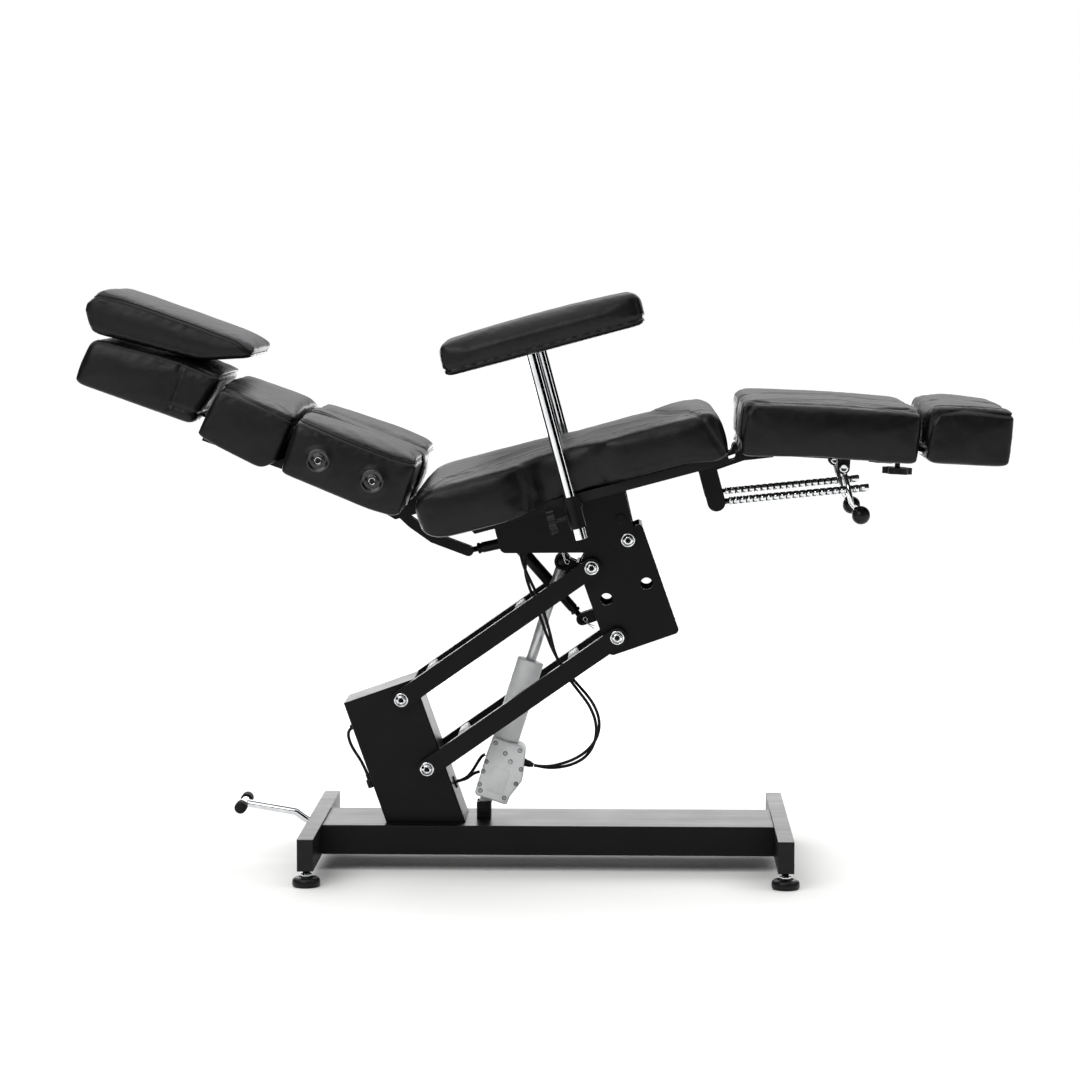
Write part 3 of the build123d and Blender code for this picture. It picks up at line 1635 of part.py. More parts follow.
def arm_pieces(side, word, drop):
    """Post, pad and clamp knob of one armrest."""
    arm_y = side * post_y
    with BuildPart() as arm_post:
        post_ends = [place(seat, post_along, up - drop, arm_y) for up in (post_low, pad_low + post_in_pad)]
        rod(*post_ends, post_radius)
    export(arm_post.part, f"arm_post_{word}")

    with BuildPart() as arm_pad:
        pad_bottom = pad_low - drop
        arm_points, arm_radii = scaled(
            arm_shares, arm_pad_left, pad_bottom, arm_pad_length, arm_pad_height
        )
        side_body(seat, arm_points, arm_radii, arm_y, arm_pad_width)
        pad_crest = pad_bottom + arm_pad_height
        crown(
            seat,
            arm_y,
            arm_pad_width,
            pad_bottom,
            pad_crest - arm_pad_edge_drop,
            pad_crest,
            arm_pad_corner,
        )
        pad_right = arm_pad_left + arm_pad_length
        corners = [
            (arm_pad_left, arm_y - arm_pad_width / 2),
            (pad_right, arm_y - arm_pad_width / 2),
            (pad_right, arm_y + arm_pad_width / 2),
            (arm_pad_left, arm_y + arm_pad_width / 2),
        ]
        plan(seat, corners, arm_pad_end_radius)
        rod(
            place(seat, post_along, pad_bottom - overrun, arm_y),
            place(seat, post_along, pad_bottom + post_in_pad + side_gap, arm_y),
            post_radius + running_fit,
            mode=Mode.SUBTRACT,
        )
    export(arm_pad.part, f"arm_pad_{word}")

    with BuildPart() as arm_knob:
        knob_end = place(seat, post_along - clamp_reach - knob_thickness / 2, clamp_up, arm_y)
        knob_plane = Plane(origin=knob_end, x_dir=seat.y_dir, z_dir=seat.x_dir)
        star_knob(knob_plane, knob_radius, knob_thickness)
        screw_tip = place(seat, post_along - post_radius - soft_gap, clamp_up, arm_y)
        rod(knob_end, screw_tip, clamp_screw_radius)
    export(arm_knob.part, f"arm_knob_{word}")


arm_pieces(-1, "near", 0)
arm_pieces(1, "far", far_arm_drop)

# Leads from the tower's grommet to the gearbox, and from the gearbox to the upper actuators
lift_lead_low = 61
lift_lead_high = 98
grommet_face = place(tower, tower_right + grommet_lip + 2 * side_gap, grommet_up)
lead_gap = 2.5
high_entry = place(lift, lift_lead_high, gearbox_low - lead_gap)
low_entry = place(lift, lift_lead_low, gearbox_low - lead_gap)
lead_apart = 4

with BuildPart() as lift_leads:
    high_route = [
        Vector(grommet_face.X, -lead_apart, grommet_face.Z),
        Vector(-149, -lead_apart, 163),
        Vector(-136, -5, 178),
        Vector(-125, -5, 197),
        Vector(-117, -4, 209),
        Vector(high_entry.X, -lead_apart, high_entry.Z),
    ]
    cord(high_route, lead_radius)
    low_route = [
        Vector(grommet_face.X, lead_apart, grommet_face.Z),
        Vector(-150, 5, 160),
        Vector(-140, 6, 168),
        Vector(-131, 6, 174),
        Vector(low_entry.X, 5, low_entry.Z),
    ]
    cord(low_route, lead_radius)
export(lift_leads.part, "lift_leads")

connector_end = place(
    lift, connector_along, gearbox_low + 0.9 * gearbox_height + connector_length + 2 * side_gap
)
back_cable_end = place(seat, -196, back_stud_up - back_tube_radius - 4)
tilt_cable_end = place(seat, -206, back_stud_up - back_tube_radius - 4)

with BuildPart() as control_cables:
    first_route = [
        Vector(connector_end.X, -2, connector_end.Z),
        Vector(6, -3, 187),
        Vector(32, -5, 192),
        Vector(62, -9, 203),
        Vector(89, -14, 222),
        Vector(107, -19, 249),
        Vector(111, -23, 281),
        Vector(98, -26, 316),
        Vector(70, -27, 349),
        Vector(44, -27, 378),
        Vector(23, -26, 410),
        Vector(8, -26, 447),
        Vector(-6, -27, 487),
        Vector(-21, -26, 527),
        Vector(-33, -26, 562),
        Vector(back_cable_end.X, -26, back_cable_end.Z - 24),
        Vector(back_cable_end.X, -26, back_cable_end.Z),
    ]
    cord(first_route, lead_radius)
    second_route = [
        Vector(connector_end.X, 5, connector_end.Z),
        Vector(4, 4, 184),
        Vector(31, 1, 185),
        Vector(60, -6, 193),
        Vector(86, -16, 210),
        Vector(102, -26, 239),
        Vector(105, -33, 275),
        Vector(92, -36, 311),
        Vector(66, -36, 344),
        Vector(42, -37, 376),
        Vector(24, -37, 411),
        Vector(15, -35, 450),
        Vector(4, -36, 490),
        Vector(-11, -36, 528),
        Vector(-27, -35, 560),
        Vector(-38, -35, 586),
        Vector(tilt_cable_end.X, -34, tilt_cable_end.Z),
    ]
    cord(second_route, lead_radius)
export(control_cables.part, "control_cables")
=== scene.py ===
"""Tattoo chair: camera, light, cords, vinyl pads with their seams, and finishes over the CAD model."""
import math

import bmesh
import bpy
import numpy as np
from mathutils import Matrix, Vector


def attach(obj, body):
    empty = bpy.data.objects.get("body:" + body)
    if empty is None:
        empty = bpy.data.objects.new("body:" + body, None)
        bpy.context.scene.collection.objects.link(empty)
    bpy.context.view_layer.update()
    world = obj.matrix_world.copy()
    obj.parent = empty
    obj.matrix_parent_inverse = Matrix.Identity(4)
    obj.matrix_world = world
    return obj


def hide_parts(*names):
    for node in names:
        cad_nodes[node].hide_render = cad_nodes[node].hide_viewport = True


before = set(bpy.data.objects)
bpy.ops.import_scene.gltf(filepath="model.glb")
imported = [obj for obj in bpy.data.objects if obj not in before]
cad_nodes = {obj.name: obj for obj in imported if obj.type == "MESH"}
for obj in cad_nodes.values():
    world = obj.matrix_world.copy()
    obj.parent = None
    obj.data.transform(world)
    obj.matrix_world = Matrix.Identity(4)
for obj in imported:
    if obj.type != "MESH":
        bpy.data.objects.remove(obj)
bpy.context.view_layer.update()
scene = bpy.context.scene
mm = 0.001

# Camera: placed by the pivots seen in the photograph
camera_place = Vector((0.16996, -6.13107, 1.15540))
turned_left = 0.0285787
looking_down = 0.0859278
ahead = Vector(
    (
        -math.sin(turned_left) * math.cos(looking_down),
        math.cos(turned_left) * math.cos(looking_down),
        -math.sin(looking_down),
    )
)
rightward = Vector((math.cos(turned_left), math.sin(turned_left), 0))
upward = rightward.cross(ahead)
camera_data = bpy.data.cameras.new("camera")
camera_data.lens = 106.7
camera_data.sensor_width = 36
camera = bpy.data.objects.new("camera", camera_data)
camera.matrix_world = Matrix.Translation(camera_place) @ Matrix(
    (rightward, upward, -ahead)
).transposed().to_4x4()
scene.collection.objects.link(camera)
scene.camera = camera


def linear(code):
    """The linear colour of an sRGB hex code: each channel c becomes ((c + 0.055) / 1.055) ** 2.4."""
    channels = [int(code[i : i + 2], 16) / 255 for i in (0, 2, 4)]
    return tuple(c / 12.92 if c <= 0.04045 else ((c + 0.055) / 1.055) ** 2.4 for c in channels) + (1,)


def add(tree, kind, links=None, stops=(), **settings):
    """Adds a shader node with its settings and links. A setting that names a property is set on the node, any other
    on the input socket of that name. A link from a node takes its first output. Stops are a colour ramp's
    (position, colour) pairs."""
    made = tree.nodes.new("ShaderNode" + kind)
    for name, value in settings.items():
        if hasattr(made, name):
            setattr(made, name, value)
        else:
            made.inputs[name.replace("_", " ")].default_value = value
    for name, source in (links or {}).items():
        tree.links.new(source.outputs[0] if isinstance(source, bpy.types.Node) else source, made.inputs[name])
    for number, (position, colour) in enumerate(stops):
        made.color_ramp.elements[number].position = position
        made.color_ramp.elements[number].color = colour
    return made


def read(items, name, width=1, kind=float):
    """One value, or a row of width values, of every item in a mesh's list, as an array."""
    values = np.empty(len(items) * width, kind)
    items.foreach_get(name, values)
    return values.reshape(-1, width) if width > 1 else values


class Frame:
    """A flat frame in a side plane of the chair: along and up in millimetres, Y across, result in metres."""

    def __init__(self, x, z, degrees, turned=False):
        angle = math.radians(degrees)
        flip = -1 if turned else 1
        self.origin = np.array((x, z)) * mm
        self.along = np.array((math.cos(angle), math.sin(angle)))
        self.up = flip * np.array((-math.sin(angle), math.cos(angle)))

    def place(self, along, up, y=0):
        """World points of local ones."""
        along, up, y = np.broadcast_arrays(*(np.asarray(v, float) * mm for v in (along, up, y)))
        x = self.origin[0] + along * self.along[0] + up * self.up[0]
        z = self.origin[1] + along * self.along[1] + up * self.up[1]
        return np.stack((x, y, z), -1)

    def local(self, points):
        """Local coordinates (along, up, across) of world points, in millimetres."""
        x = points[..., 0] - self.origin[0]
        z = points[..., 2] - self.origin[1]
        along = x * self.along[0] + z * self.along[1]
        up = x * self.up[0] + z * self.up[1]
        return along / mm, up / mm, points[..., 1] / mm


tower = Frame(-219, 194, 19.4)
seat = Frame(164, 633, 15)
back = Frame(-169.3, 717.6, 160.3, turned=True)
leg = Frame(375.2, 799.3, -3)
lift = Frame(-114, 109, 72.3, turned=True)
upper_arm = Frame(-268, 327, 35)
lower_arm = Frame(-219, 194, 35)
ratchet = Frame(329.59, 710.5, 5.6)
ground = Frame(0, 0, 0)


def link_piece(piece, body, material):
    """Shows a piece, lets it ride on a body and gives it its material."""
    if piece.name not in scene.collection.objects:
        scene.collection.objects.link(piece)
    piece.data.materials.clear()
    piece.data.materials.append(material)
    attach(piece, body)
    return piece


# Cords: each is one open NURBS line through the points of its route
def cord_curve(name, points, diameter, body, material):
    """A round cord whose line is an open NURBS spline with the route's points as its control points."""
    curve = bpy.data.curves.new(name, "CURVE")
    curve.dimensions = "3D"
    curve.resolution_u = 10
    curve.bevel_depth = diameter / 2
    curve.bevel_resolution = 4
    curve.use_fill_caps = True
    spline = curve.splines.new("NURBS")
    spline.points.add(len(points) - 1)
    for control, point in zip(spline.points, points):
        control.co = (*point, 1)
    spline.order_u = 3
    spline.use_endpoint_u = True
    return link_piece(bpy.data.objects.new(name, curve), body, material)


def route_length(piece):
    """Length of a cord's own line: the sum of the steps of its curve evaluated without a bevel."""
    bare = piece.data.copy()
    bare.bevel_depth = 0
    carrier = bpy.data.objects.new("bare_line", bare)
    mesh = bpy.data.meshes.new_from_object(carrier)
    points = read(mesh.vertices, "co", 3)
    bpy.data.objects.remove(carrier)
    bpy.data.curves.remove(bare)
    bpy.data.meshes.remove(mesh)
    return float(np.linalg.norm(np.diff(points, axis=0), axis=1).sum())


def mesh_piece(name, points, faces, body, material, slot, node=None):
    """A mesh from arrays of points and faces, its doubles merged at seams and poles and its faces turned outwards.
    Where a node is named, the piece replaces it."""
    mesh = bpy.data.meshes.new(name)
    mesh.from_pydata(np.asarray(points, float).tolist(), [], np.asarray(faces).tolist())
    work = bmesh.new()
    work.from_mesh(mesh)
    bmesh.ops.remove_doubles(work, verts=work.verts[:], dist=1e-6)
    bmesh.ops.recalc_face_normals(work, faces=work.faces[:])
    work.to_mesh(mesh)
    work.free()
    mesh.shade_smooth()
    piece = link_piece(bpy.data.objects.new(name, mesh), body, material)
    if node:
        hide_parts(node)
    return piece


def ring_faces(rings, around, closed=False):
    """Quads between neighbouring rings of around points each: point k and k + 1 of a ring, then k + 1 and k of the
    next one. A closed row of rings joins its last ring to its first."""
    rows, here = np.meshgrid(np.arange(rings - (not closed)), np.arange(around), indexing="ij")
    after = (here + 1) % around
    below = (rows + 1) % rings
    quads = (rows * around + here, rows * around + after, below * around + after, below * around + here)
    return np.stack(quads, -1).reshape(-1, 4)


def spokes(side, other, around):
    """Directions cos(t) side + sin(t) other at around even turns t, for one pair of directions or a row of pairs."""
    turn = np.linspace(0, 2 * np.pi, around, endpoint=False)[:, None]
    return np.cos(turn) * side[..., None, :] + np.sin(turn) * other[..., None, :]


def lathe(start, way, profile, around=32):
    """Points and faces of a turned form: each (along, radius) pair in millimetres is a ring about the axis from
    start along way, whose points are cos(t) and sin(t) of two directions square to it."""
    way = np.asarray(way, float) / np.linalg.norm(way)
    side = np.cross(way, (0.31, 0.52, 0.79))
    side /= np.linalg.norm(side)
    ring = spokes(side, np.cross(way, side), around)
    along, radius = (np.array(profile, float) * mm).T
    points = np.asarray(start, float) + along[:, None, None] * way + radius[:, None, None] * ring[None]
    return points.reshape(-1, 3), ring_faces(len(profile), around)


def tube(path, radius, around=10, closed=False):
    """Points and faces of a tube along a path: rings square to the path, their first spoke kept square to Y. A
    closed path joins its ends; an open one ends in rings of no radius."""
    path = np.asarray(path, float)
    radius = np.full(len(path), float(radius))
    if closed:
        step = np.roll(path, -1, 0) - np.roll(path, 1, 0)
    else:
        step = np.gradient(path, axis=0)
        path, step = (np.vstack((line[:1], line, line[-1:])) for line in (path, step))
        radius = np.concatenate(([0], radius, [0]))
    step /= np.linalg.norm(step, axis=1)[:, None] + 1e-12
    side = np.cross(step, (0.0, 1.0, 0.0))
    weak = np.linalg.norm(side, axis=1) < 0.15
    side[weak] = np.cross(step[weak], (1.0, 0.0, 0.0))
    side /= np.linalg.norm(side, axis=1)[:, None]
    ring = spokes(side, np.cross(step, side), around)
    points = path[:, None] + radius[:, None, None] * ring
    return points.reshape(-1, 3), ring_faces(len(path), around, closed)


def merge(parts):
    """One set of points and faces out of several."""
    points, faces, base = [], [], 0
    for some_points, some_faces in parts:
        points.append(some_points)
        faces.append(np.asarray(some_faces) + base)
        base += len(some_points)
    return np.vstack(points), np.vstack(faces)


# Materials. Noise scales come from real sizes: scale = 1 / blotch size, so each size below is in millimetres
def new_material(name):
    """An empty node material, its tree and its object coordinates in metres."""
    material = bpy.data.materials.new(name)
    material.use_nodes = True
    material.node_tree.nodes.clear()
    return material, material.node_tree, add(material.node_tree, "TexCoord").outputs["Object"]


def powder_coat(name, dark, light, rough):
    """Powder-coated steel. It gives the eye a deep black with a faint cloudy gloss, streaks along the chair, a fine
    orange peel, and edges that are rounded over 1.2 mm and worn a little paler. The peel is drawn at 2.4 mm; the
    real one is about 1 mm and would not show."""
    material, tree, place = new_material(name)
    rounded = add(tree, "Bevel", samples=4, Radius=1.2 * mm)
    flat = add(tree, "NewGeometry").outputs["Normal"]
    same = add(tree, "VectorMath", {0: rounded, 1: flat}, operation="DOT_PRODUCT").outputs["Value"]
    edge = add(tree, "MapRange", {"Value": same}, From_Min=0.72, From_Max=0.995, To_Min=1.0, To_Max=0.0)
    cloud = add(tree, "TexNoise", {"Vector": place}, Scale=1 / (90 * mm), Detail=4)
    drawn_out = add(tree, "Mapping", {"Vector": place}, Scale=(0.05, 1, 1))
    streaks = add(tree, "TexNoise", {"Vector": drawn_out}, Scale=1 / (16 * mm), Detail=4, Roughness=0.6)
    scuffs = add(tree, "TexNoise", {"Vector": place}, Scale=1 / (14 * mm), Detail=5)
    scuffs = add(tree, "MapRange", {"Value": scuffs}, To_Max=0.55)
    scuffed = add(tree, "Math", {0: edge, 1: scuffs}, operation="MULTIPLY")
    colour = add(tree, "ValToRGB", {"Fac": cloud}, [(0.3, linear(dark)), (0.75, linear(light))])
    worn = add(tree, "Mix", {0: scuffed, 6: colour}, data_type="RGBA")
    worn.inputs[7].default_value = linear("3a3b3d")
    cloud_gloss = add(tree, "MapRange", {"Value": cloud}, To_Min=rough - 0.06, To_Max=rough + 0.03)
    streak_gloss = add(tree, "MapRange", {"Value": streaks}, To_Min=-0.06, To_Max=0.1)
    gloss = add(tree, "Math", {0: cloud_gloss, 1: streak_gloss}, operation="ADD")
    peel = add(tree, "TexNoise", {"Vector": place}, Scale=1 / (2.4 * mm), Detail=2)
    orange_peel = add(tree, "Bump", {"Height": peel, "Normal": rounded}, Strength=1, Distance=0.035 * mm)
    links = {"Base Color": worn.outputs[2], "Roughness": gloss, "Normal": orange_peel}
    shader = add(tree, "BsdfPrincipled", links, Specular_IOR_Level=0.13)
    add(tree, "OutputMaterial", {"Surface": shader})
    return material


def vinyl(name, dark, light, rough, grain, pore):
    """Embossed upholstery vinyl. It gives the eye a soft black with a cloudy sheen, pebbled grain cells, shallow
    pulls of 26 mm and slow swells of 95 mm. The real grain is about 0.8 mm and is drawn coarser so that it shows."""
    material, tree, place = new_material(name)
    cells = add(tree, "TexVoronoi", {"Vector": place}, feature="SMOOTH_F1", Scale=1 / (grain * mm))
    pulls = add(tree, "TexNoise", {"Vector": place}, Scale=1 / (26 * mm), Detail=3, Roughness=0.55)
    swells = add(tree, "TexNoise", {"Vector": place}, Scale=1 / (95 * mm), Detail=2)
    relief = add(tree, "Bump", {"Height": cells}, Strength=1, Distance=pore * mm)
    relief = add(tree, "Bump", {"Height": pulls, "Normal": relief}, Strength=1, Distance=0.9 * mm)
    relief = add(tree, "Bump", {"Height": swells, "Normal": relief}, Strength=1, Distance=2.2 * mm)
    cloud = add(tree, "TexNoise", {"Vector": place}, Scale=1 / (60 * mm), Detail=5, Roughness=0.6)
    colour = add(tree, "ValToRGB", {"Fac": cloud}, [(0.3, linear(dark)), (0.72, linear(light))])
    gloss = add(tree, "MapRange", {"Value": cloud}, To_Min=rough - 0.06, To_Max=rough + 0.07)
    links = {"Base Color": colour, "Roughness": gloss, "Normal": relief}
    shader = add(tree, "BsdfPrincipled", links, Specular_IOR_Level=0.2, Coat_Weight=0.06, Coat_Roughness=0.28)
    add(tree, "OutputMaterial", {"Surface": shader})
    return material


def metal(name, colour, rough, bevel=0.6):
    """Bare or plated metal. It gives the eye bright streaks of the screens, broken by faint smudges of 35 mm in
    colour and gloss, and edges rounded over the bevel. Its finest waviness is drawn at 1.1 mm."""
    material, tree, place = new_material(name)
    rounded = add(tree, "Bevel", samples=4, Radius=bevel * mm)
    smudge = add(tree, "TexNoise", {"Vector": place}, Scale=1 / (35 * mm), Detail=6, Roughness=0.65)
    tint = add(tree, "ValToRGB", {"Fac": smudge}, [(0.25, linear(colour)), (0.8, linear("f2f3f4"))])
    gloss = add(tree, "MapRange", {"Value": smudge}, To_Min=rough * 0.6, To_Max=rough * 1.6)
    waves = add(tree, "TexNoise", {"Vector": place}, Scale=1 / (1.1 * mm), Detail=2)
    relief = add(tree, "Bump", {"Height": waves, "Normal": rounded}, Strength=1, Distance=0.004 * mm)
    shader = add(tree, "BsdfPrincipled", {"Base Color": tint, "Roughness": gloss, "Normal": relief}, Metallic=1)
    add(tree, "OutputMaterial", {"Surface": shader})
    return material


def moulded(name, dark, light, rough, grain, depth, bevel=0.8, specular=0.22):
    """Moulded plastic, rubber or cast and painted housing. It gives the eye an even colour with an uneven gloss in
    patches of 22 mm, a spark-eroded grain and rounded edges. Real grain is 0.1 to 0.5 mm and is drawn coarser."""
    material, tree, place = new_material(name)
    rounded = add(tree, "Bevel", samples=4, Radius=bevel * mm)
    cloud = add(tree, "TexNoise", {"Vector": place}, Scale=1 / (22 * mm), Detail=5)
    colour = add(tree, "ValToRGB", {"Fac": cloud}, [(0.3, linear(dark)), (0.75, linear(light))])
    gloss = add(tree, "MapRange", {"Value": cloud}, To_Min=rough - 0.06, To_Max=rough + 0.08)
    grains = add(tree, "TexNoise", {"Vector": place}, Scale=1 / (grain * mm), Detail=2)
    relief = add(tree, "Bump", {"Height": grains, "Normal": rounded}, Strength=1, Distance=depth * mm)
    links = {"Base Color": colour, "Roughness": gloss, "Normal": relief}
    shader = add(tree, "BsdfPrincipled", links, Specular_IOR_Level=specular)
    add(tree, "OutputMaterial", {"Surface": shader})
    return material


# Satin black powder coat of the welded frame: nearly no colour, a broad dull highlight
paint = powder_coat("black_powder_coat", "0a0a0b", "111112", 0.34)
# Black vinyl of every pad: the screens show on it as a soft broad sheen
pad_vinyl = vinyl("black_vinyl", "08080a", "0f0f10", 0.37, grain=1.3, pore=0.07)
# The pillow's top panel: the same cloth, greyer as a painted sheen of the light falling on its top, with a deeper
# grain and less gloss
pillow_top_painted_sheen = vinyl("pillow_top_painted_sheen_vinyl", "303032", "414144", 0.45, grain=1.6, pore=0.1)
# Stained plywood under the pads: dull and slightly rough
board = moulded("black_board", "0a0a0a", "131313", 0.62, grain=2.0, depth=0.08)
# Polished chrome plate of rods, posts, levers and bolt heads: mirror-like, with hard black and white stripes
chrome = metal("chrome", "c9cbce", 0.07)
# Dark zinc of the gearbox screws: grey, dull and small in highlight
zinc = metal("dark_zinc", "4a4c4f", 0.34, bevel=0.3)
# Die-cast gearbox and extruded tube, sprayed light grey: matt with soft shading
housing_grey = moulded("grey_cast_housing", "cfd1d2", "dedfe0", 0.46, grain=1.4, depth=0.05)
# Ground steel of the lift rod: bright grey with blurred reflections
satin_grey = metal("satin_rod", "b4b6b8", 0.42)
# Moulded knobs, plugs and feet: black with a small clear highlight
plastic = moulded("black_knob_plastic", "0b0b0b", "161616", 0.36, grain=0.8, depth=0.03)
# Polished plastic rings of the lumbar sockets: thin bright rims on black
glossy_plastic = moulded("glossy_ring_plastic", "0a0a0a", "121212", 0.2, grain=3.0, depth=0.01, specular=0.6)
# Rubber of cords, grips and grommet: black and dull, with hardly a highlight
rubber = moulded("black_rubber", "0a0a0a", "151515", 0.62, grain=1.2, depth=0.05)
# Bonded sewing thread: slightly paler than the vinyl, so that each stitch shows
thread = moulded("black_thread", "141414", "2b2b2c", 0.7, grain=0.4, depth=0.1, bevel=0.2)
# Blank printed film on the gearbox: a touch smoother than the casting
label = moulded("bare_label", "cfd1d2", "dcdddd", 0.35, grain=3.0, depth=0.01)

# Power lead down the tower's left face, with a bush at its top and a plug with a ribbed strain relief at its end
lead_diameter = 6 * mm
lead_y = -30
lead_line = [(-111.5, 118), (-120, 116), (-127, 108), (-129, 93), (-127, 75), (-122, 57), (-119, 39), (-118, 21)]
plug_form = [(-2, 0), (-2, 3.4)]
for rib in range(4):
    plug_form += [(rib * 2.2 + at, radius) for at, radius in ((0, 4.2), (1.2, 4.2), (1.4, 3.5), (2.1, 3.5))]
plug_form += [(9, 5.5), (11, 7), (25, 7), (26, 6.2), (26, 0)]
bush_form = [(0, 0), (0, 6.5), (1.6, 6.5), (2.4, 5.6), (6, 4.6), (8, 3.6), (8, 0)]
tower_right = tower.place(1, 0) - tower.place(0, 0)
tower_down = tower.place(-118, -5, lead_y) - tower.place(-118, 21, lead_y)
plug_turned = lathe(tower.place(-118, 21, lead_y), tower_down, plug_form)
plug = mesh_piece("lead_plug", *plug_turned, "base", plastic, "black_plastic")
bush = lathe(tower.place(-111, 118, lead_y), -tower_right, bush_form)
mesh_piece("lead_bush", *bush, "base", rubber, "black_rubber")

# Routes as (x, y, z) in millimetres: from the tower's grommet into the gearbox, and on to the upper actuators
high_line = [
    tower.place(37, -51.9, -4) / mm, (-149, -4, 163), (-136, -5, 178), (-125, -5, 197), (-117, -4, 209),
    lift.place(98, -28.5, -4) / mm,
]
low_line = [
    tower.place(37, -51.9, 4) / mm, (-150, 5, 160), (-140, 6, 168), (-131, 6, 174), lift.place(61, -28.5, 5) / mm,
]
back_cable_end = seat.place(-196, 27, -26) / mm
back_line = [
    lift.place(106, 67.9, -2) / mm, (6, -3, 187), (32, -5, 192), (62, -9, 203), (89, -14, 222), (107, -19, 249),
    (111, -23, 281), (98, -26, 316), (70, -27, 349), (44, -27, 378), (23, -26, 410), (8, -26, 447), (-6, -27, 487),
    (-21, -26, 527), (-33, -26, 562), back_cable_end - np.array((0, 0, 24)), back_cable_end,
]
tilt_line = [
    lift.place(106, 67.9, 5) / mm, (4, 4, 184), (31, 1, 185), (60, -6, 193), (86, -16, 210), (102, -26, 239),
    (105, -33, 275), (92, -36, 311), (66, -36, 344), (42, -37, 376), (24, -37, 411), (15, -35, 450), (4, -36, 490),
    (-11, -36, 528), (-27, -35, 560), (-38, -35, 586), seat.place(-206, 27, -34) / mm,
]
power_line = [tower.place(right, up, lead_y) / mm for right, up in lead_line]
for name, line, body, stood_for, far_end, lay, with_pieces in (
    ("power_cord", power_line, "base", "power_lead", "plug", "hanging", (plug,)),
    ("lift_lead_high", high_line, "base", "lift_leads", "object", "loose", ()),
    ("lift_lead_low", low_line, "base", "lift_leads", "object", "loose", ()),
    ("back_actuator_cable", back_line, "lower_arm", "control_cables", "object", "loose", ()),
    ("tilt_actuator_cable", tilt_line, "lower_arm", "control_cables", "object", "loose", ()),
):
    points = [np.asarray(point, float) * mm for point in line]
    lead = cord_curve(name, points, lead_diameter, body, rubber)
    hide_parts(stood_for)
    route_length(lead)


# Pivot bolts: a shaft with bushes, and outside each arm a domed head with a hexagonal socket on a washer
def bolt_head(start, way, around=48):
    """Points and faces of a domed bolt head: rings about way, whose socket rings are r cos(30) / cos(t) for t within
    30 degrees of each flat's middle, so that they follow a hexagon."""
    way = np.asarray(way, float)
    rings = [
        (0, 0, 0), (0, 13.4, 0), (1.4, 13.4, 0), (1.9, 12.9, 0), (1.9, 10.9, 0), (1.5, 10.5, 0), (3.2, 10.2, 0),
        (5.1, 9.2, 0), (6.5, 7.6, 0), (7.1, 6.2, 0), (7.1, 5.6, 1), (6.7, 5.2, 1), (3.6, 5.0, 1), (3.2, 0.0, 1),
    ]
    turn = np.linspace(0, 2 * np.pi, around, endpoint=False)
    flat = np.cos(np.pi / 6) / np.cos(np.mod(turn, np.pi / 3) - np.pi / 6)
    across = np.stack((np.cos(turn), np.zeros(around), np.sin(turn)), 1)
    points = [
        np.asarray(start, float) + way * along * mm + across * (radius * mm * flat**hexed)[:, None]
        for along, radius, hexed in rings
    ]
    return np.vstack(points), ring_faces(len(rings), around)


def bolts(name, node, body, seats):
    """Bolts across the chair at (x, z, half length, bush start, bush end) in millimetres: bright heads whose sockets
    are closed by a black disc of painted shade, a thin black ring of painted shade round each dome, and black bushes
    and shafts."""
    heads, shafts = [], []
    # The ring round each dome and the disc in each socket are painted shade: black where the chrome head lies in
    # shade
    shade = [(1.3, 10.95), (2.0, 10.85), (2.3, 10.5), (2.3, 10.2), (1.3, 10.1), (1.3, 10.95)]
    socket_painted_shade = [(3.7, 0), (3.7, 4.6), (3.0, 4.6), (3.0, 0)]
    for x, z, half, bush_from, bush_to in seats:
        for way in (-1, 1):
            end, out = ground.place(x, z, way * half), (0, way, 0)
            heads.append(bolt_head(end, out))
            shafts.append(lathe(end, out, shade, 40))
            shafts.append(lathe(end, out, socket_painted_shade, 40))
            if bush_to > bush_from:
                bush = [
                    (bush_from, 10), (bush_from, 14.4), (bush_from + 0.6, 15), (bush_to - 0.6, 15), (bush_to, 14.4),
                    (bush_to, 10), (bush_from, 10),
                ]
                shafts.append(lathe(ground.place(x, z), out, bush))
        shaft = [(0, 0), (0, 10), (2 * half + 2, 10), (2 * half + 2, 0)]
        shafts.append(lathe(ground.place(x, z, -half - 1), (0, 1, 0), shaft))
    mesh_piece(name + "_heads", *merge(heads), body, chrome, "chrome", node)
    mesh_piece(name + "_bushes_and_painted_shade", *merge(shafts), body, paint, "black_paint", node)


bolts("tower_bolts", "tower_pins", "base", [(-219, 194, 82.3, 62, 65.7), (-268, 327, 82.3, 62, 65.7)])
bracket_seats = [(143.88, 448.1, 82.3, 60, 65.7), (94.88, 581.1, 82.3, 60, 65.7), (164, 633, 65.3, 0, 0)]
bolts("bracket_bolts", "bracket_pins", "bracket", bracket_seats)


# Lift rod: a satin tube, a black fork head and a cotter clip
def clip(start, along, out, length=24):
    """A cotter clip of 1.6 mm wire: a straight leg, a ring of radius 4 mm and a leg with one wave along it."""
    t = np.linspace(0, 1, 14)
    turn = np.linspace(-0.5 * np.pi, 1.1 * np.pi, 16)
    straight = np.stack((-length * (1 - t), 0 * t), 1)
    ring = np.stack((4 * np.cos(turn) + 1, 4 * np.sin(turn) + 4), 1)
    wave = np.stack((-3 - length * 0.75 * t, 3.5 - 2.5 * np.sin(np.pi * t) + 2 * t), 1)
    flat = np.vstack((straight, ring, wave)) * mm
    path = np.asarray(start, float) + flat[:, :1] * np.asarray(along, float) + flat[:, 1:] * np.asarray(out, float)
    return tube(path, 0.8 * mm, 8)


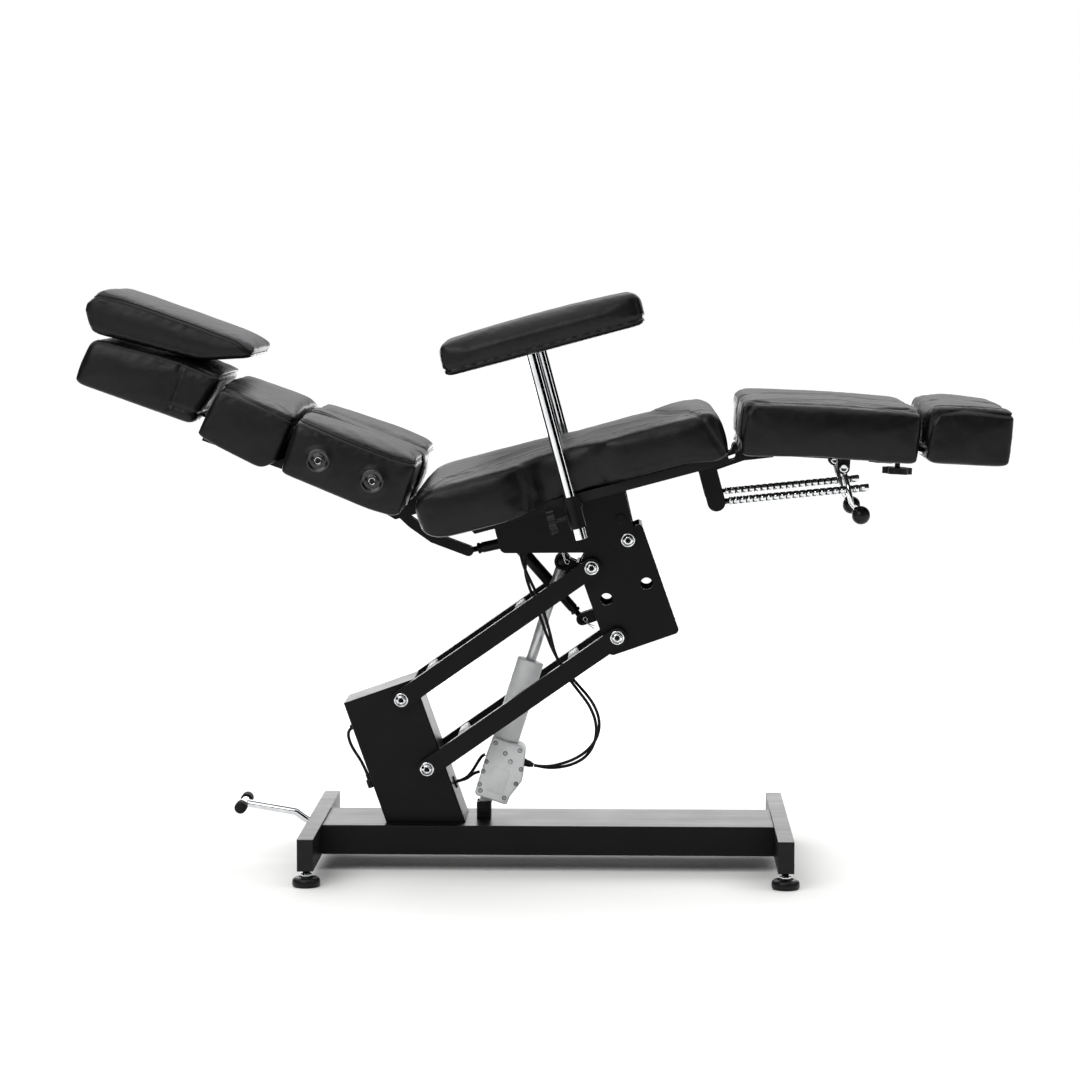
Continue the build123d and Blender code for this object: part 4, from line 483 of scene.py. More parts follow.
rod_form = [(0, 0), (0, 9.2), (0.8, 10), (284, 10), (286, 9), (286, 0)]
fork_form = [(0, 0), (0, 12.6), (1.4, 14), (24.6, 14), (26, 12.6), (26, 0)]
fork_pin = [
    (0, 0), (0, 8), (1, 8.8), (2.1, 8.8), (2.1, 5), (43.1, 5), (43.1, 8.8), (44.2, 8.8), (45.2, 8), (45.2, 0),
]
crosswise = (0, 1, 0)
lift_way = lift.place(1, 0) - lift.place(0, 0)
fork_head = lathe(lift.place(502, 0, -13), crosswise, fork_form)
fork = merge([fork_head, lathe(lift.place(502, 0, -22.6), crosswise, fork_pin)])
fork_clip = clip(lift.place(503, 5, -23.1), (0.3, 0.0, -0.95), (0.95, 0.0, 0.3))
lift_rod = lathe(lift.place(205, 0), lift_way, rod_form)
mesh_piece("lift_rod_tube", *lift_rod, "lift_rod", satin_grey, "grey_housing", "lift_rod")
mesh_piece("lift_rod_fork", *fork, "lift_rod", plastic, "black_plastic", "lift_rod")
mesh_piece("lift_rod_clip", *fork_clip, "lift_rod", chrome, "chrome", "lift_rod")


# Tilt and back actuators: a black outer tube, and in its bore a black inner tube with a collar and an eye
def actuator(name, inner_node, outer_node, start, end, reach, outer, inner, far_eye):
    """Two telescoping tubes from an eye at start towards end, each reach long: the inner one after start, the outer
    one before end. Both are turned profiles; eyes are turned about the cross axis. Nodes and bodies share names."""
    start, end = np.asarray(start, float) * mm, np.asarray(end, float) * mm
    way = (end - start) / np.linalg.norm(end - start)
    eye = [(0, 0), (0, 8.6), (0.8, 9.5), (11.2, 9.5), (12, 8.6), (12, 0)]
    collar = inner + 0.4
    inner_profile = [
        (6, 0), (6, 5.5), (17, 5.5), (18, collar - 1), (19, collar), (23, collar), (24, inner - 1.4),
        (26, inner - 1.4), (27, inner), (reach - 1, inner), (reach, inner - 1), (reach, 0),
    ]
    half_eye = np.array((0, 6 * mm, 0))
    inner_forms = [lathe(start, way, inner_profile), lathe(start - half_eye, crosswise, eye)]
    outer_profile = [
        (0, 0), (0, outer - 2), (2, outer), (reach - 2, outer), (reach, outer - 1.2), (reach, inner + 0.7),
        (reach * 0.1, inner + 0.7), (reach * 0.1, 0),
    ]
    outer_forms = [lathe(end, -way, outer_profile)]
    if far_eye:
        outer_forms.append(lathe(end - half_eye, crosswise, [(a, r * 1.25) for a, r in eye]))
    for part, forms, node in (("_inner_tube", inner_forms, inner_node), ("_outer_tube", outer_forms, outer_node)):
        mesh_piece(name + part, *merge(forms), node, paint, "black_paint", node)


actuator("tilt_actuator", "tilt_rod", "tilt_housing", (76, 38, 471), (-62.22, 38, 627.26), 138, 11.7, 9.8, True)
back_ends = (-141.3, -26, 608.84), (149.97, -26, 673.76)
actuator("back_actuator", "back_rod", "back_housing", *back_ends, 205, 12.2, 10.3, False)
tilt_clip = clip((0.080, 0.0225, 0.468), (-0.75, -0.1, 0.62), (0.6, -0.1, 0.75))
mesh_piece("tilt_rod_clip", *tilt_clip, "tilt_rod", chrome, "chrome")


# Light cross tubes that join each pair of lift arms
def cross_tubes(name, body, arm, places):
    """Square tubes across the chair: a rounded square section |u|^8 + |v|^8 = 1, scaled to 10 by 10.4 mm, drawn out
    to 131 mm."""
    turn = np.linspace(0, 2 * np.pi, 32, endpoint=False)
    size = (np.abs(np.cos(turn)) ** 8 + np.abs(np.sin(turn)) ** 8) ** (-1 / 8)
    forms = []
    for along in places:
        rings = [
            arm.place(along + 10 * scale * size * np.cos(turn), 6.6 + 10.4 * scale * size * np.sin(turn), y)
            for y, scale in ((-65.6, 0), (-65.6, 1), (65.6, 1), (65.6, 0))
        ]
        forms.append((np.vstack(rings), ring_faces(len(rings), len(turn))))
    mesh_piece(name, *merge(forms), body, housing_grey, "black_paint")


cross_tubes("upper_arm_ties", "upper_arm", upper_arm, (75, 283))
cross_tubes("lower_arm_ties", "lower_arm", lower_arm, (90, 348))

sides = ((-1, "near"), (1, "far"))
latch_plane = 130  # middle plane of the latches and ratchet rods, across the chair

# Latch levers: on either side of the clevis a bright rod, from an eye on the pin down to the black ball. After the
# bend, with t from 0 to 1, its distance from the middle plane is 21 - 16 (3 t^2 - 2 t^3) mm. A pin joins both.
ball_turn = np.linspace(0, np.pi, 18)
ball_form = [(17.4 * (1 - math.cos(a)), max(17.4 * math.sin(a), 0.0)) for a in ball_turn]
eye_form = [
    (0, 0), (0, 6.4), (0.8, 7.2), (7.4, 7.2), (8.3, 6.4), (8.3, 8.0), (9.8, 8.0), (10.9, 6.8), (10.9, 4.4),
    (9.6, 4.2), (9.6, 0),
]
pin_form = [(0, 0), (0, 3), (42, 3), (42, 0)]
bend = np.linspace(0, 1, 12)
turned_in = 21 - 16 * (3 * bend**2 - 2 * bend**3)
for side, word in sides:
    middle, body = side * latch_plane, f"latch_{word}"
    ball = lathe(leg.place(231, -101 + 17.4, middle), leg.place(231, -101) - leg.place(231, -100), ball_form, 40)
    forms = [lathe(leg.place(210.1, -72.3, middle - 21), crosswise, pin_form, 24)]
    for way in (-1, 1):
        top = leg.place(192, -13, middle + way * 21)
        low_end = leg.place(212.5 + 10.5 * bend, -80 - 12 * bend, middle + way * turned_in)
        forms.append(tube(np.vstack((top, low_end)), 4.2 * mm, 24))
        forms.append(lathe(leg.place(192, -13, middle + way * 16.8), (0, way, 0), eye_form, 36))
    mesh_piece(f"latch_knob_{word}", *ball, body, plastic, "black_plastic", f"latch_lever_{word}")
    mesh_piece(f"latch_rods_{word}", *merge(forms), body, chrome, "chrome", f"latch_lever_{word}")

# Levelling feet: a thick round-edged disc, a bright stem and its hexagonal nut, whose radius is r cos(30) / cos(t)
# for t from the middle of each flat
disc_form = [
    (0, 0), (0, 22.5), (1.2, 24.8), (4, 26.2), (11, 26.2), (15, 24.8), (17.6, 21.5), (18.4, 16), (17.2, 13),
    (17.2, 0),
]
stem_form = [
    (17, 0), (17, 9.4), (18.2, 10.2), (24.5, 10.2), (25.5, 9.4), (25.5, 7), (31, 7), (31.8, 5), (34, 5), (34, 0),
]
for x, end in ((-434, "head"), (458, "toe")):
    for side, word in sides:
        start, foot = ground.place(x, 0, side * 255), f"level_foot_{end}_{word}"
        points, faces = lathe(start, (0, 0, 1), stem_form, 36)
        around = points - start
        turn = np.mod(np.arctan2(around[:, 1], around[:, 0]), np.pi / 3) - np.pi / 6
        nut = (around[:, 2] > 0.0165) & (around[:, 2] < 0.0256) & (np.hypot(around[:, 0], around[:, 1]) > 0.009)
        points[nut, :2] = start[:2] + around[nut, :2] * (1.08 * np.cos(np.pi / 6) / np.cos(turn[nut]))[:, None]
        disc = lathe(start, (0, 0, 1), disc_form, 56)
        mesh_piece(f"level_disc_{end}_{word}", *disc, foot + "_body", plastic, "black_plastic", foot)
        mesh_piece(f"level_nut_{end}_{word}", points, faces, foot + "_body", chrome, "black_plastic", foot)

# Notched ratchet rods: turned notches 3.2 mm wide every 12.5 mm along the whole rod, with a black band of painted
# shade at the bottom of each notch
notches = [30 + 12.5 * number for number in range(20)]
rod_form = [(0, 0), (0, 5.5), (24, 5.5), (24, 6.7), (24.8, 7.5)]
for at in notches:
    rod_form += [(at, 7.5), (at + 0.5, 6.1), (at + 2.7, 6.1), (at + 3.2, 7.5)]
rod_form += [(286.2, 7.5), (287, 6.7), (287, 0)]
rod_eye = [(0, 0), (0, 10.2), (0.8, 11), (11.2, 11), (12, 10.2), (12, 0)]
ratchet_way = ratchet.place(1, 0) - ratchet.place(0, 0)
for side, word in sides:
    start, body = ratchet.place(0, 0, side * latch_plane), f"ratchet_{word}"
    eye = lathe(ratchet.place(0, 0, side * latch_plane - 6), crosswise, rod_eye)
    forms = [lathe(start, ratchet_way, rod_form), eye]
    mesh_piece(f"notched_rod_{word}", *merge(forms), body, chrome, "chrome", f"ratchet_rod_{word}")
    shadow = [(0.6, 5), (0.6, 6.4), (2.6, 6.4), (2.6, 5), (0.6, 5)]
    bands = [lathe(start, ratchet_way, [(at + along, radius) for along, radius in shadow]) for at in notches]
    mesh_piece(f"notch_shadow_{word}", *merge(bands), body, rubber, "black_rubber")

# Ribbed grips at both ends of the pedal's cross rod
grip_form = [(0, 0), (0, 9.4), (0.8, 11.2)]
for rib in range(6):
    grip_form += [(rib * 4 + at, radius) for at, radius in ((2, 11.5), (4.4, 11.5), (4.8, 10.8), (5.6, 10.8))]
grip_form += [(27, 11.5), (28.4, 10.6), (28.8, 0)]
grips = [lathe(ground.place(-580, 114, side * 35), (0, side, 0), grip_form, 36) for side in (-1, 1)]
mesh_piece("pedal_grips", *merge(grips), "pedal", rubber, "black_rubber")

# On the gearbox: screws with a dark rim of painted shade round each head, on both faces, the cables' stepped
# connector, and the bare label plate
gearbox_half = 32
screw_form = [(-1, 0), (-1, 3.5), (1.2, 3.5), (1.9, 2.8), (1.9, 1.6), (1.3, 1.5), (1.3, 0)]
# Black rings round the screw heads: painted shade where each head sits in the casting
screw_shade_form = [(-0.5, 4.4), (0.3, 4.4), (0.5, 4.2), (0.5, 3.4), (-0.5, 3.4), (-0.5, 4.4)]
screw_places = [
    (33, -16), (33, 32), (44, -21), (70, -22), (66, 45), (90, -22), (96, 46), (104, 22), (116, 8), (130, -16),
    (130, 33),
]


def on_gearbox(form):
    """One turned form at every screw place, on both faces of the gearbox."""
    return merge(
        [
            lathe(lift.place(along, up, side * gearbox_half), (0, side, 0), form, 20)
            for side in (-1, 1)
            for along, up in screw_places
        ]
    )


mesh_piece("lift_screws", *on_gearbox(screw_form), "lift_housing", zinc, "chrome", "lift_fittings")
mesh_piece("lift_screw_painted_shade_rims", *on_gearbox(screw_shade_form), "lift_housing", rubber, "black_rubber")
socket_form = [(0, 0), (0, 8), (4, 8), (4.6, 7), (14, 6.4), (15, 5), (20, 4.4), (20, 0)]
socket = lathe(lift.place(106, 46.9), lift.place(0, 1) - lift.place(0, 0), socket_form)
mesh_piece("lift_connector", *socket, "lift_housing", plastic, "black_plastic", "lift_fittings")


def label_plate(along, up, half_length, half_height):
    """A bare plate with rounded corners: rings of |u|^12 + |v|^12 = 1 scaled to its half sizes, 0.5 mm proud."""
    turn = np.linspace(0, 2 * np.pi, 64, endpoint=False)
    size = (np.abs(np.cos(turn)) ** 12 + np.abs(np.sin(turn)) ** 12) ** (-1 / 12)
    rings = []
    for out, scale in ((0.0, 1.0), (0.35, 1.0), (0.5, 0.985), (0.5, 0.0)):
        right, higher = half_length * scale * size * np.cos(turn), half_height * scale * size * np.sin(turn)
        rings.append(lift.place(along + right, up + higher, -gearbox_half - out))
    return np.vstack(rings), ring_faces(len(rings), len(turn))


mesh_piece("gearbox_label", *label_plate(62, 10, 25, 17), "lift_housing", label, "grey_housing")

# Finishes of the CAD nodes that show as they are
finishes = {
    paint: "base_beam cross_bars tower_column lift_clevis upper_arms lower_arms tilt_bracket seat_carrier "
    "board_brackets arm_sockets back_hinges leg_frame_near leg_frame_far",
    chrome: "pedal_lever head_rods arm_post_near arm_post_far",
    plastic: "bar_end_caps foot_knob_near foot_knob_far arm_knob_near arm_knob_far",
    rubber: "tower_grommet",
    housing_grey: "lift_gearbox lift_tube",
    board: "seat_board back_board",
}
for material, names in finishes.items():
    for name in names.split():
        for slot in cad_nodes[name].material_slots:
            slot.material = material


# Light: one wide soft source overhead, a bright screen behind, a weak fill in front
def area_light(name, place, target, size, power):
    """A soft box at a place, facing a target, unseen itself."""
    data = bpy.data.lights.new(name, "AREA")
    data.shape = "RECTANGLE"
    data.size, data.size_y = size
    data.energy = power
    light = bpy.data.objects.new(name, data)
    place, target = Vector(place), Vector(target)
    facing = (target - place).to_track_quat("-Z", "Y").to_matrix().to_4x4()
    light.matrix_world = Matrix.Translation(place) @ facing
    light.visible_camera = False
    scene.collection.objects.link(light)


area_light("low_screen_behind", (0.0, 3.2, 0.55), (0.0, 0.0, 0.5), (5.0, 0.7), 42)
area_light("high_screen_behind", (0.0, 3.2, 2.0), (0.0, 0.0, 0.8), (5.0, 2.0), 26)
area_light("fill_front", (-1.6, -3.4, 2.6), (0.0, 0.0, 0.7), (2.6, 1.6), 62)
area_light("side_strip", (3.0, -1.2, 1.4), (0.0, 0.0, 0.7), (0.5, 1.6), 5)
sun_data = bpy.data.lights.new("overhead", "SUN")
sun_data.energy = 3.7
sun_data.angle = math.radians(110)
sun = bpy.data.objects.new("overhead", sun_data)
sun.rotation_euler = (math.radians(-12), 0, 0)
scene.collection.objects.link(sun)

world = bpy.data.worlds.new("studio")
world.use_nodes = True
world.node_tree.nodes.clear()
sky = add(world.node_tree, "Background", Color=(1, 1, 1, 1), Strength=1.0)
add(world.node_tree, "OutputWorld", {"Surface": sky})
scene.world = world
world.cycles_visibility.diffuse = False
world.cycles_visibility.glossy = False
scene.view_settings.view_transform = "Standard"

# A matt white studio floor with slow, barely visible clouds of 900 mm
floor_material, floor_tree, floor_place = new_material("studio_floor")
floor_cloud = add(floor_tree, "TexNoise", {"Vector": floor_place}, Scale=1 / (900 * mm), Detail=4)
floor_tones = [(0.3, linear("f6f6f5")), (0.7, linear("fafaf9"))]
floor_links = {"Base Color": add(floor_tree, "ValToRGB", {"Fac": floor_cloud}, floor_tones)}
floor_shader = add(floor_tree, "BsdfPrincipled", floor_links, Roughness=0.9, Specular_IOR_Level=0.1)
add(floor_tree, "OutputMaterial", {"Surface": floor_shader})
floor_mesh = bpy.data.meshes.new("floor")
floor_mesh.from_pydata([(-30, -30, 0), (30, -30, 0), (30, 30, 0), (-30, 30, 0)], [], [(0, 1, 2, 3)])
floor_mesh.materials.append(floor_material)
floor = bpy.data.objects.new("floor", floor_mesh)
scene.collection.objects.link(floor)


# Pads: the CAD solid's skin is remeshed, pinned along its seams, blown up as cloth, then sewn and creased
lies_below = -0.35  # upward share of a normal below which the skin lies on its board
seam_depth, seam_half_width = 1.5, 2.4  # millimetres
pucker_reach = 11  # millimetres from a seam over which its puckers fade
stitch_row = 3.6  # millimetres from a seam to the stitches on either side of it
piping_radius = 1.9  # millimetres
filling = {
    "quality": 4, "mass": 0.35, "tension_stiffness": 22, "compression_stiffness": 22, "shear_stiffness": 9,
    "bending_stiffness": 1.6, "use_pressure": True, "uniform_pressure_force": 4, "vertex_group_mass": "sewn",
    "pin_stiffness": 1,
}


def plain_copy(name, node):
    """A new object with a copy of a CAD node's mesh."""
    mesh = cad_nodes[node].data.copy()
    mesh.name = name
    mesh.materials.clear()
    piece = bpy.data.objects.new(name, mesh)
    scene.collection.objects.link(piece)
    return piece


def apply_modifiers(piece):
    """Replaces a piece's mesh by its evaluated one and drops its modifiers."""
    graph = bpy.context.evaluated_depsgraph_get()
    fresh = bpy.data.meshes.new_from_object(piece.evaluated_get(graph), depsgraph=graph)
    old = piece.data
    piece.modifiers.clear()
    piece.data = fresh
    bpy.data.meshes.remove(old)


def points_of(mesh):
    """A mesh's points as rows of x, y, z."""
    return read(mesh.vertices, "co", 3)


def set_points(mesh, points):
    """Moves a mesh's points to new places."""
    mesh.vertices.foreach_set("co", np.ascontiguousarray(points, np.float32).ravel())
    mesh.update()


def relax(mesh, rounds, share=0.5):
    """Moves every point a share of the way to the mean of its neighbours, again and again."""
    points, edges = points_of(mesh), read(mesh.edges, "vertices", 2, int)
    count = np.bincount(edges.ravel(), minlength=len(points))[:, None]
    for _ in range(rounds):
        total = np.zeros_like(points)
        np.add.at(total, edges[:, 0], points[edges[:, 1]])
        np.add.at(total, edges[:, 1], points[edges[:, 0]])
        points += share * (total / count - points)
    set_points(mesh, points)


def ripple(points, size_mm, seed):
    """Smooth noise from -1 to 1: nine sine waves with wavelengths near size_mm in seeded directions."""
    dice = np.random.default_rng(seed)
    way = dice.normal(size=(9, 3))
    way *= (2 * np.pi / (size_mm * mm * dice.uniform(0.7, 1.5, 9)) / np.linalg.norm(way, axis=1))[:, None]
    return np.sin(points @ way.T + dice.uniform(0, 6.28, 9)).sum(1) / 4


def groove(gap, width_mm):
    """1 on a seam, falling to 0 away from it as a bell of that half width; gap is in millimetres."""
    return np.exp(-((gap / width_mm) ** 2))


def seam_line(mesh, level, where):
    """Chains of points where a scalar field over the mesh's points crosses zero, in the order they join.

    Each face that the field crosses gives one segment between two crossed edges; segments that share an edge join."""
    points = points_of(mesh)
    edges = read(mesh.edges, "vertices", 2, int)
    a, b = level[edges[:, 0]], level[edges[:, 1]]
    crossed = ((a < 0) != (b < 0)) & where[edges].all(1)
    share = np.where(crossed, a / np.where(a == b, 1, a - b), 0)[:, None]
    cuts = points[edges[:, 0]] * (1 - share) + points[edges[:, 1]] * share
    loop_edge = read(mesh.loops, "edge_index", kind=int)
    starts = read(mesh.polygons, "loop_start", kind=int)
    owner = np.repeat(np.arange(len(starts)), np.diff(np.append(starts, len(loop_edge))))
    hit = crossed[loop_edge]
    joined = {}
    last = {}
    for face, edge in zip(owner[hit].tolist(), loop_edge[hit].tolist()):
        if face in last:
            joined.setdefault(edge, []).append(last[face])
            joined.setdefault(last[face], []).append(edge)
        else:
            last[face] = edge
    chains = []
    unused = set(joined)
    ends = [edge for edge, beside in joined.items() if len(beside) == 1]
    for start in ends + list(joined):
        if start not in unused:
            continue
        chain, here = [start], start
        unused.discard(start)
        while True:
            further = [edge for edge in joined[here] if edge in unused]
            if not further:
                break
            here = further[0]
            unused.discard(here)
            chain.append(here)
        closed = len(chain) > 8 and chain[0] in joined[chain[-1]]
        chains.append((cuts[chain], closed))
    return [(line, closed) for line, closed in chains if len(line) > 6]


def even_line(line, closed, pitch, smooth=3):
    """A line resampled at even steps along its own length after a light smoothing."""
    if closed:
        line = np.vstack((line, line[:1]))
    for _ in range(smooth):
        line = line.copy()
        line[1:-1] += 0.5 * ((line[:-2] + line[2:]) / 2 - line[1:-1])
    reach = np.append(0, np.cumsum(np.linalg.norm(np.diff(line, axis=0), axis=1)))
    at = np.arange(0, reach[-1], pitch)
    return np.stack([np.interp(at, reach, line[:, axis]) for axis in range(3)], 1)


def stitches(line, closed, pitch=4.4, length=3.1, radius=0.5):
    """Points and faces of a row of thread stitches: short six-sided spindles laid end to end along a line."""
    places = even_line(line, closed, pitch * mm)
    way = np.gradient(places, axis=0)
    way /= np.linalg.norm(way, axis=1)[:, None] + 1e-12
    side = np.cross(way, (0.17, 0.33, 0.93))
    side /= np.linalg.norm(side, axis=1)[:, None] + 1e-12
    along = np.array((-0.5, -0.36, 0.36, 0.5)) * length * mm
    thick = np.array((0.0, 1.0, 1.0, 0.0)) * radius * mm
    ring = spokes(side, np.cross(way, side), 6)
    points = (
        places[:, None, None]
        + along[None, :, None, None] * way[:, None, None]
        + thick[None, :, None, None] * ring[:, None]
    )
    faces = ring_faces(4, 6)[None] + 24 * np.arange(len(places))[:, None, None]
    return points.reshape(-1, 3), faces.reshape(-1, 4)


class Seam:
    """A sewn line on a pad: where up = height(along), or where along or across has a fixed value.

    gap() gives each point's distance to it in millimetres, and live() the points where it may run."""

    def __init__(self, kind, value, style="stitched", keep=None):
        self.kind, self.value, self.style, self.keep = kind, value, style, keep

    def gap(self, along, up, across):
        if self.kind == "height":
            at, height = np.array(self.value, float).T
            slope = np.interp(along + 1, at, height) - np.interp(along - 1, at, height)
            return (up - np.interp(along, at, height)) / np.hypot(1, slope / 2)
        if self.kind == "along":
            return along - self.value
        return np.abs(across) - self.value

    def live(self, along, up, across):
        if self.keep is None:
            return np.ones(len(along), bool)
        return self.keep(along, up, across)


def skin(mesh, place, middle):
    """Points and normals of a pad, its points' local along, up and across from the middle, and how far up each normal
    looks."""
    points, normals = points_of(mesh), read(mesh.vertex_normals, "vector", 3)
    along, up, across = place.local(points)
    return points, normals, along, up, across - middle, normals[:, 0] * place.up[0] + normals[:, 2] * place.up[1]


def make_pad(name, node, body, place, seams, seed, voxel=6.0, cap=9.0, shrink=3.0, middle=0.0, sole=0.0, cut=None,
             holds=()):
    """A padded piece in a node's place.

    The node's skin is remeshed and drawn in by shrink; points on a seam or on the sole are pinned; pressure then
    fills it as cloth and no point moves further than cap. Last come the groove of each seam, puckers that fade
    from it as exp(-gap / 11 mm), slow wrinkles, and the stitches or piping along it. Round the outer face's places
    in holds, (along, up, radius), the skin stays on the CAD surface."""
    piece = plain_copy(name, node)
    if cut is not None:
        trim(piece, *cut)
    remesh = piece.modifiers.new("skin", "REMESH")
    remesh.mode = "VOXEL"
    remesh.voxel_size = voxel * mm
    apply_modifiers(piece)
    relax(piece.data, rounds=12)
    points, normals, along, up, across, up_way = skin(piece.data, place, middle)
    low = up.min()
    near_seam = np.zeros(len(points))
    for seam in seams:
        gap = np.where(seam.live(along, up, across), seam.gap(along, up, across), 1e3)
        near_seam = np.maximum(near_seam, groove(gap, 0.75 * voxel))
    held_spot = np.zeros(len(points))
    for spot_along, spot_up, spot_radius in holds:
        off = np.hypot(along - spot_along, up - spot_up) - spot_radius
        held_spot = np.maximum(held_spot, np.clip(1 - off / 9, 0, 1) * (across < 0))
    resting = ((up_way < lies_below) | (up < low + sole)) & (held_spot == 0)
    drawn = (shrink * np.where(resting, 0.35, 1.0) + 2.2 * near_seam * ~resting) * (1 - held_spot)
    near_seam = np.maximum(near_seam, held_spot)
    start = points - normals * (drawn * mm)[:, None]
    set_points(piece.data, start)
    pins = piece.vertex_groups.new(name="sewn")
    held = np.clip(near_seam * 1.2, 0, 1)
    held[resting] = 1
    for weight in (1.0, 0.75, 0.5, 0.25):
        chosen = np.flatnonzero(np.abs(held - weight) <= 0.125)
        pins.add(chosen.tolist(), weight, "REPLACE")
    cloth = piece.modifiers.new("filling", "CLOTH")
    for setting, value in filling.items():
        setattr(cloth.settings, setting, value)
    cloth.settings.effector_weights.gravity = 0
    cloth.collision_settings.use_collision = False
    cloth.point_cache.frame_start, cloth.point_cache.frame_end = 1, 20
    for step in range(1, 21):
        scene.frame_set(step)
    apply_modifiers(piece)
    moved = points_of(piece.data)
    scene.frame_set(1)
    way = moved - start
    far = np.linalg.norm(way, axis=1)
    way *= np.minimum(1, cap * mm / np.maximum(far, 1e-9))[:, None]
    set_points(piece.data, start + way)
    relax(piece.data, 1, 0.35)
    finer = piece.modifiers.new("finer", "SUBSURF")
    finer.levels = finer.render_levels = 1
    apply_modifiers(piece)
    mesh = piece.data
    mesh.shade_smooth()
    points, normals, along, up, across, up_way = skin(mesh, place, middle)
    loose = np.clip((up_way + 0.75) / 0.4, 0, 1)
    move = 0.45 * ripple(points, 85, seed) + 0.168 * ripple(points, 31, seed + 1)
    levels = []
    for number, seam in enumerate(seams):
        live = seam.live(along, up, across)
        gap = np.where(live, seam.gap(along, up, across), 1e3)
        levels.append((gap, live))
        move -= seam_depth * groove(gap, seam_half_width)
        pucker = np.exp(-np.abs(gap) / pucker_reach) * (1 - groove(gap, 3))
        move += 0.48 * pucker * ripple(points, 13, seed + 5 + number)
        move += 0.8 * groove(np.abs(gap) - 7, 5)
    set_points(mesh, points + normals * (move * loose * mm)[:, None])
    link_piece(piece, body, pad_vinyl)
    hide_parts(node)
    sewing = []
    trims = []
    for seam, (gap, live) in zip(seams, levels):
        if seam.style == "crease":
            continue
        rows = (-stitch_row, stitch_row) if seam.style == "stitched" else (0.0,)
        for row in rows:
            for line, closed in seam_line(mesh, gap - row, live & (up_way > -0.8)):
                if len(line) < 14:
                    continue
                if seam.style == "stitched":
                    sewing.append(stitches(line, closed))
                else:
                    path = even_line(line, closed, 5 * mm, smooth=8)
                    trims.append(tube(path, piping_radius * mm, 8, closed))
    pieces = [piece]
    for ending, parts, material in (("_stitches", sewing, thread), ("_piping", trims, pad_vinyl)):
        if parts:
            pieces.append(mesh_piece(name + ending, *merge(parts), body, material, "black_vinyl"))
    return pieces


def trim(piece, point, way):
    """Cuts a piece's mesh off beyond a plane and closes it."""
    work = bmesh.new()
    work.from_mesh(piece.data)
    bmesh.ops.remove_doubles(work, verts=work.verts[:], dist=1e-6)
    cut = bmesh.ops.bisect_plane(
        work, geom=work.verts[:] + work.edges[:] + work.faces[:], plane_co=point, plane_no=way, clear_outer=True
    )
    rim = [item for item in cut["geom_cut"] if isinstance(item, bmesh.types.BMEdge)]
    bmesh.ops.holes_fill(work, edges=rim, sides=0)
    work.to_mesh(piece.data)
    work.free()


def other_side(pieces, node, body, shift=(0, 0, 0)):
    """The mirrored twin of a near pad and its sewing, moved by shift in metres."""
    made = []
    for piece in pieces:
        mesh = piece.data.copy()
        mesh.name = piece.name.replace("near", "far")
        set_points(mesh, points_of(mesh) * (1, -1, 1) + shift)
        mesh.flip_normals()
        twin = bpy.data.objects.new(mesh.name, mesh)
        link_piece(twin, body, mesh.materials[0])
        made.append(twin)
    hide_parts(node)
    return made


# The seat: its side panels end in a seam under the top edge that turns down the front corners
seat_top_seam = [
    (-375, 172), (-352, 188), (-325, 200), (-290, 207), (-150, 216), (0, 222), (100, 221), (170, 211), (191, 200),
    (201, 168), (213, 135), (224, 90),
]
make_pad(
    "seat_pad", "seat_cushion", "seat", seat,
    [
        Seam("height", seat_top_seam),
        Seam("across", 206, "crease", lambda along, up, across: (up > 190) & (along > -300)),
    ],
    voxel=8.0, cap=12, shrink=4, seed=11, sole=3,
)
# Lumbar bolsters, piped round the top
lumbar_seam = [(60, 50), (80, 49), (126, 45), (195, 47), (301, 53), (320, 55)]
lumbar_sockets = ((248, -5), (142, -7))
lumbar = make_pad(
    "lumbar_pad_near_soft", "lumbar_pad_near", "back", back, [Seam("height", lumbar_seam, "piped")],
    seed=21, middle=-180, sole=2, holds=[(along, up, 22) for along, up in lumbar_sockets],
)
other_side(lumbar, "lumbar_pad_far", "back")
# Their sockets: a ribbed flange on the outer face and a bright liner in its hole
flange_form = [
    (-8, 6.6), (-8, 9), (-0.5, 9), (-0.5, 20.6), (0.4, 21.8), (1.8, 21.9), (2.9, 20.8), (3.1, 19.2), (2.4, 17.6),
    (1.3, 16.4), (1.2, 12.6), (2.2, 11.2), (3.7, 10.2), (4.3, 8.9), (3.9, 7.4), (2.6, 6.6), (-8, 6.6),
]
liner_form = [(0, 6.7), (0, 5.4), (14, 5.2), (14, 0), (15, 0), (15, 6.6), (0, 6.7)]
flanges, liners = [], []
for side in (-1, 1):
    for along, up in lumbar_sockets:
        flanges.append(lathe(back.place(along, up, side * 285.2), (0, side, 0), flange_form, 48))
        liners.append(lathe(back.place(along, up, side * 287), (0, -side, 0), liner_form, 24))
mesh_piece("socket_flanges", *merge(flanges), "back", glossy_plastic, "black_plastic", "socket_rings")
mesh_piece("socket_liners", *merge(liners), "back", chrome, "chrome")
# Shoulder block, and the strip between the bolsters with a stitched line along either edge
shoulder_seam = [(300, 36), (329, 43), (411, 51), (490, 56)]
make_pad("shoulder_pad_soft", "shoulder_pad", "back", back, [Seam("height", shoulder_seam)], seed=31, sole=2)
centre_seams = [Seam("across", 48, "stitched", lambda along, up, across: up > 20)]
make_pad("centre_pad_soft", "centre_pad", "back", back, centre_seams, seed=41, cap=6, sole=10)
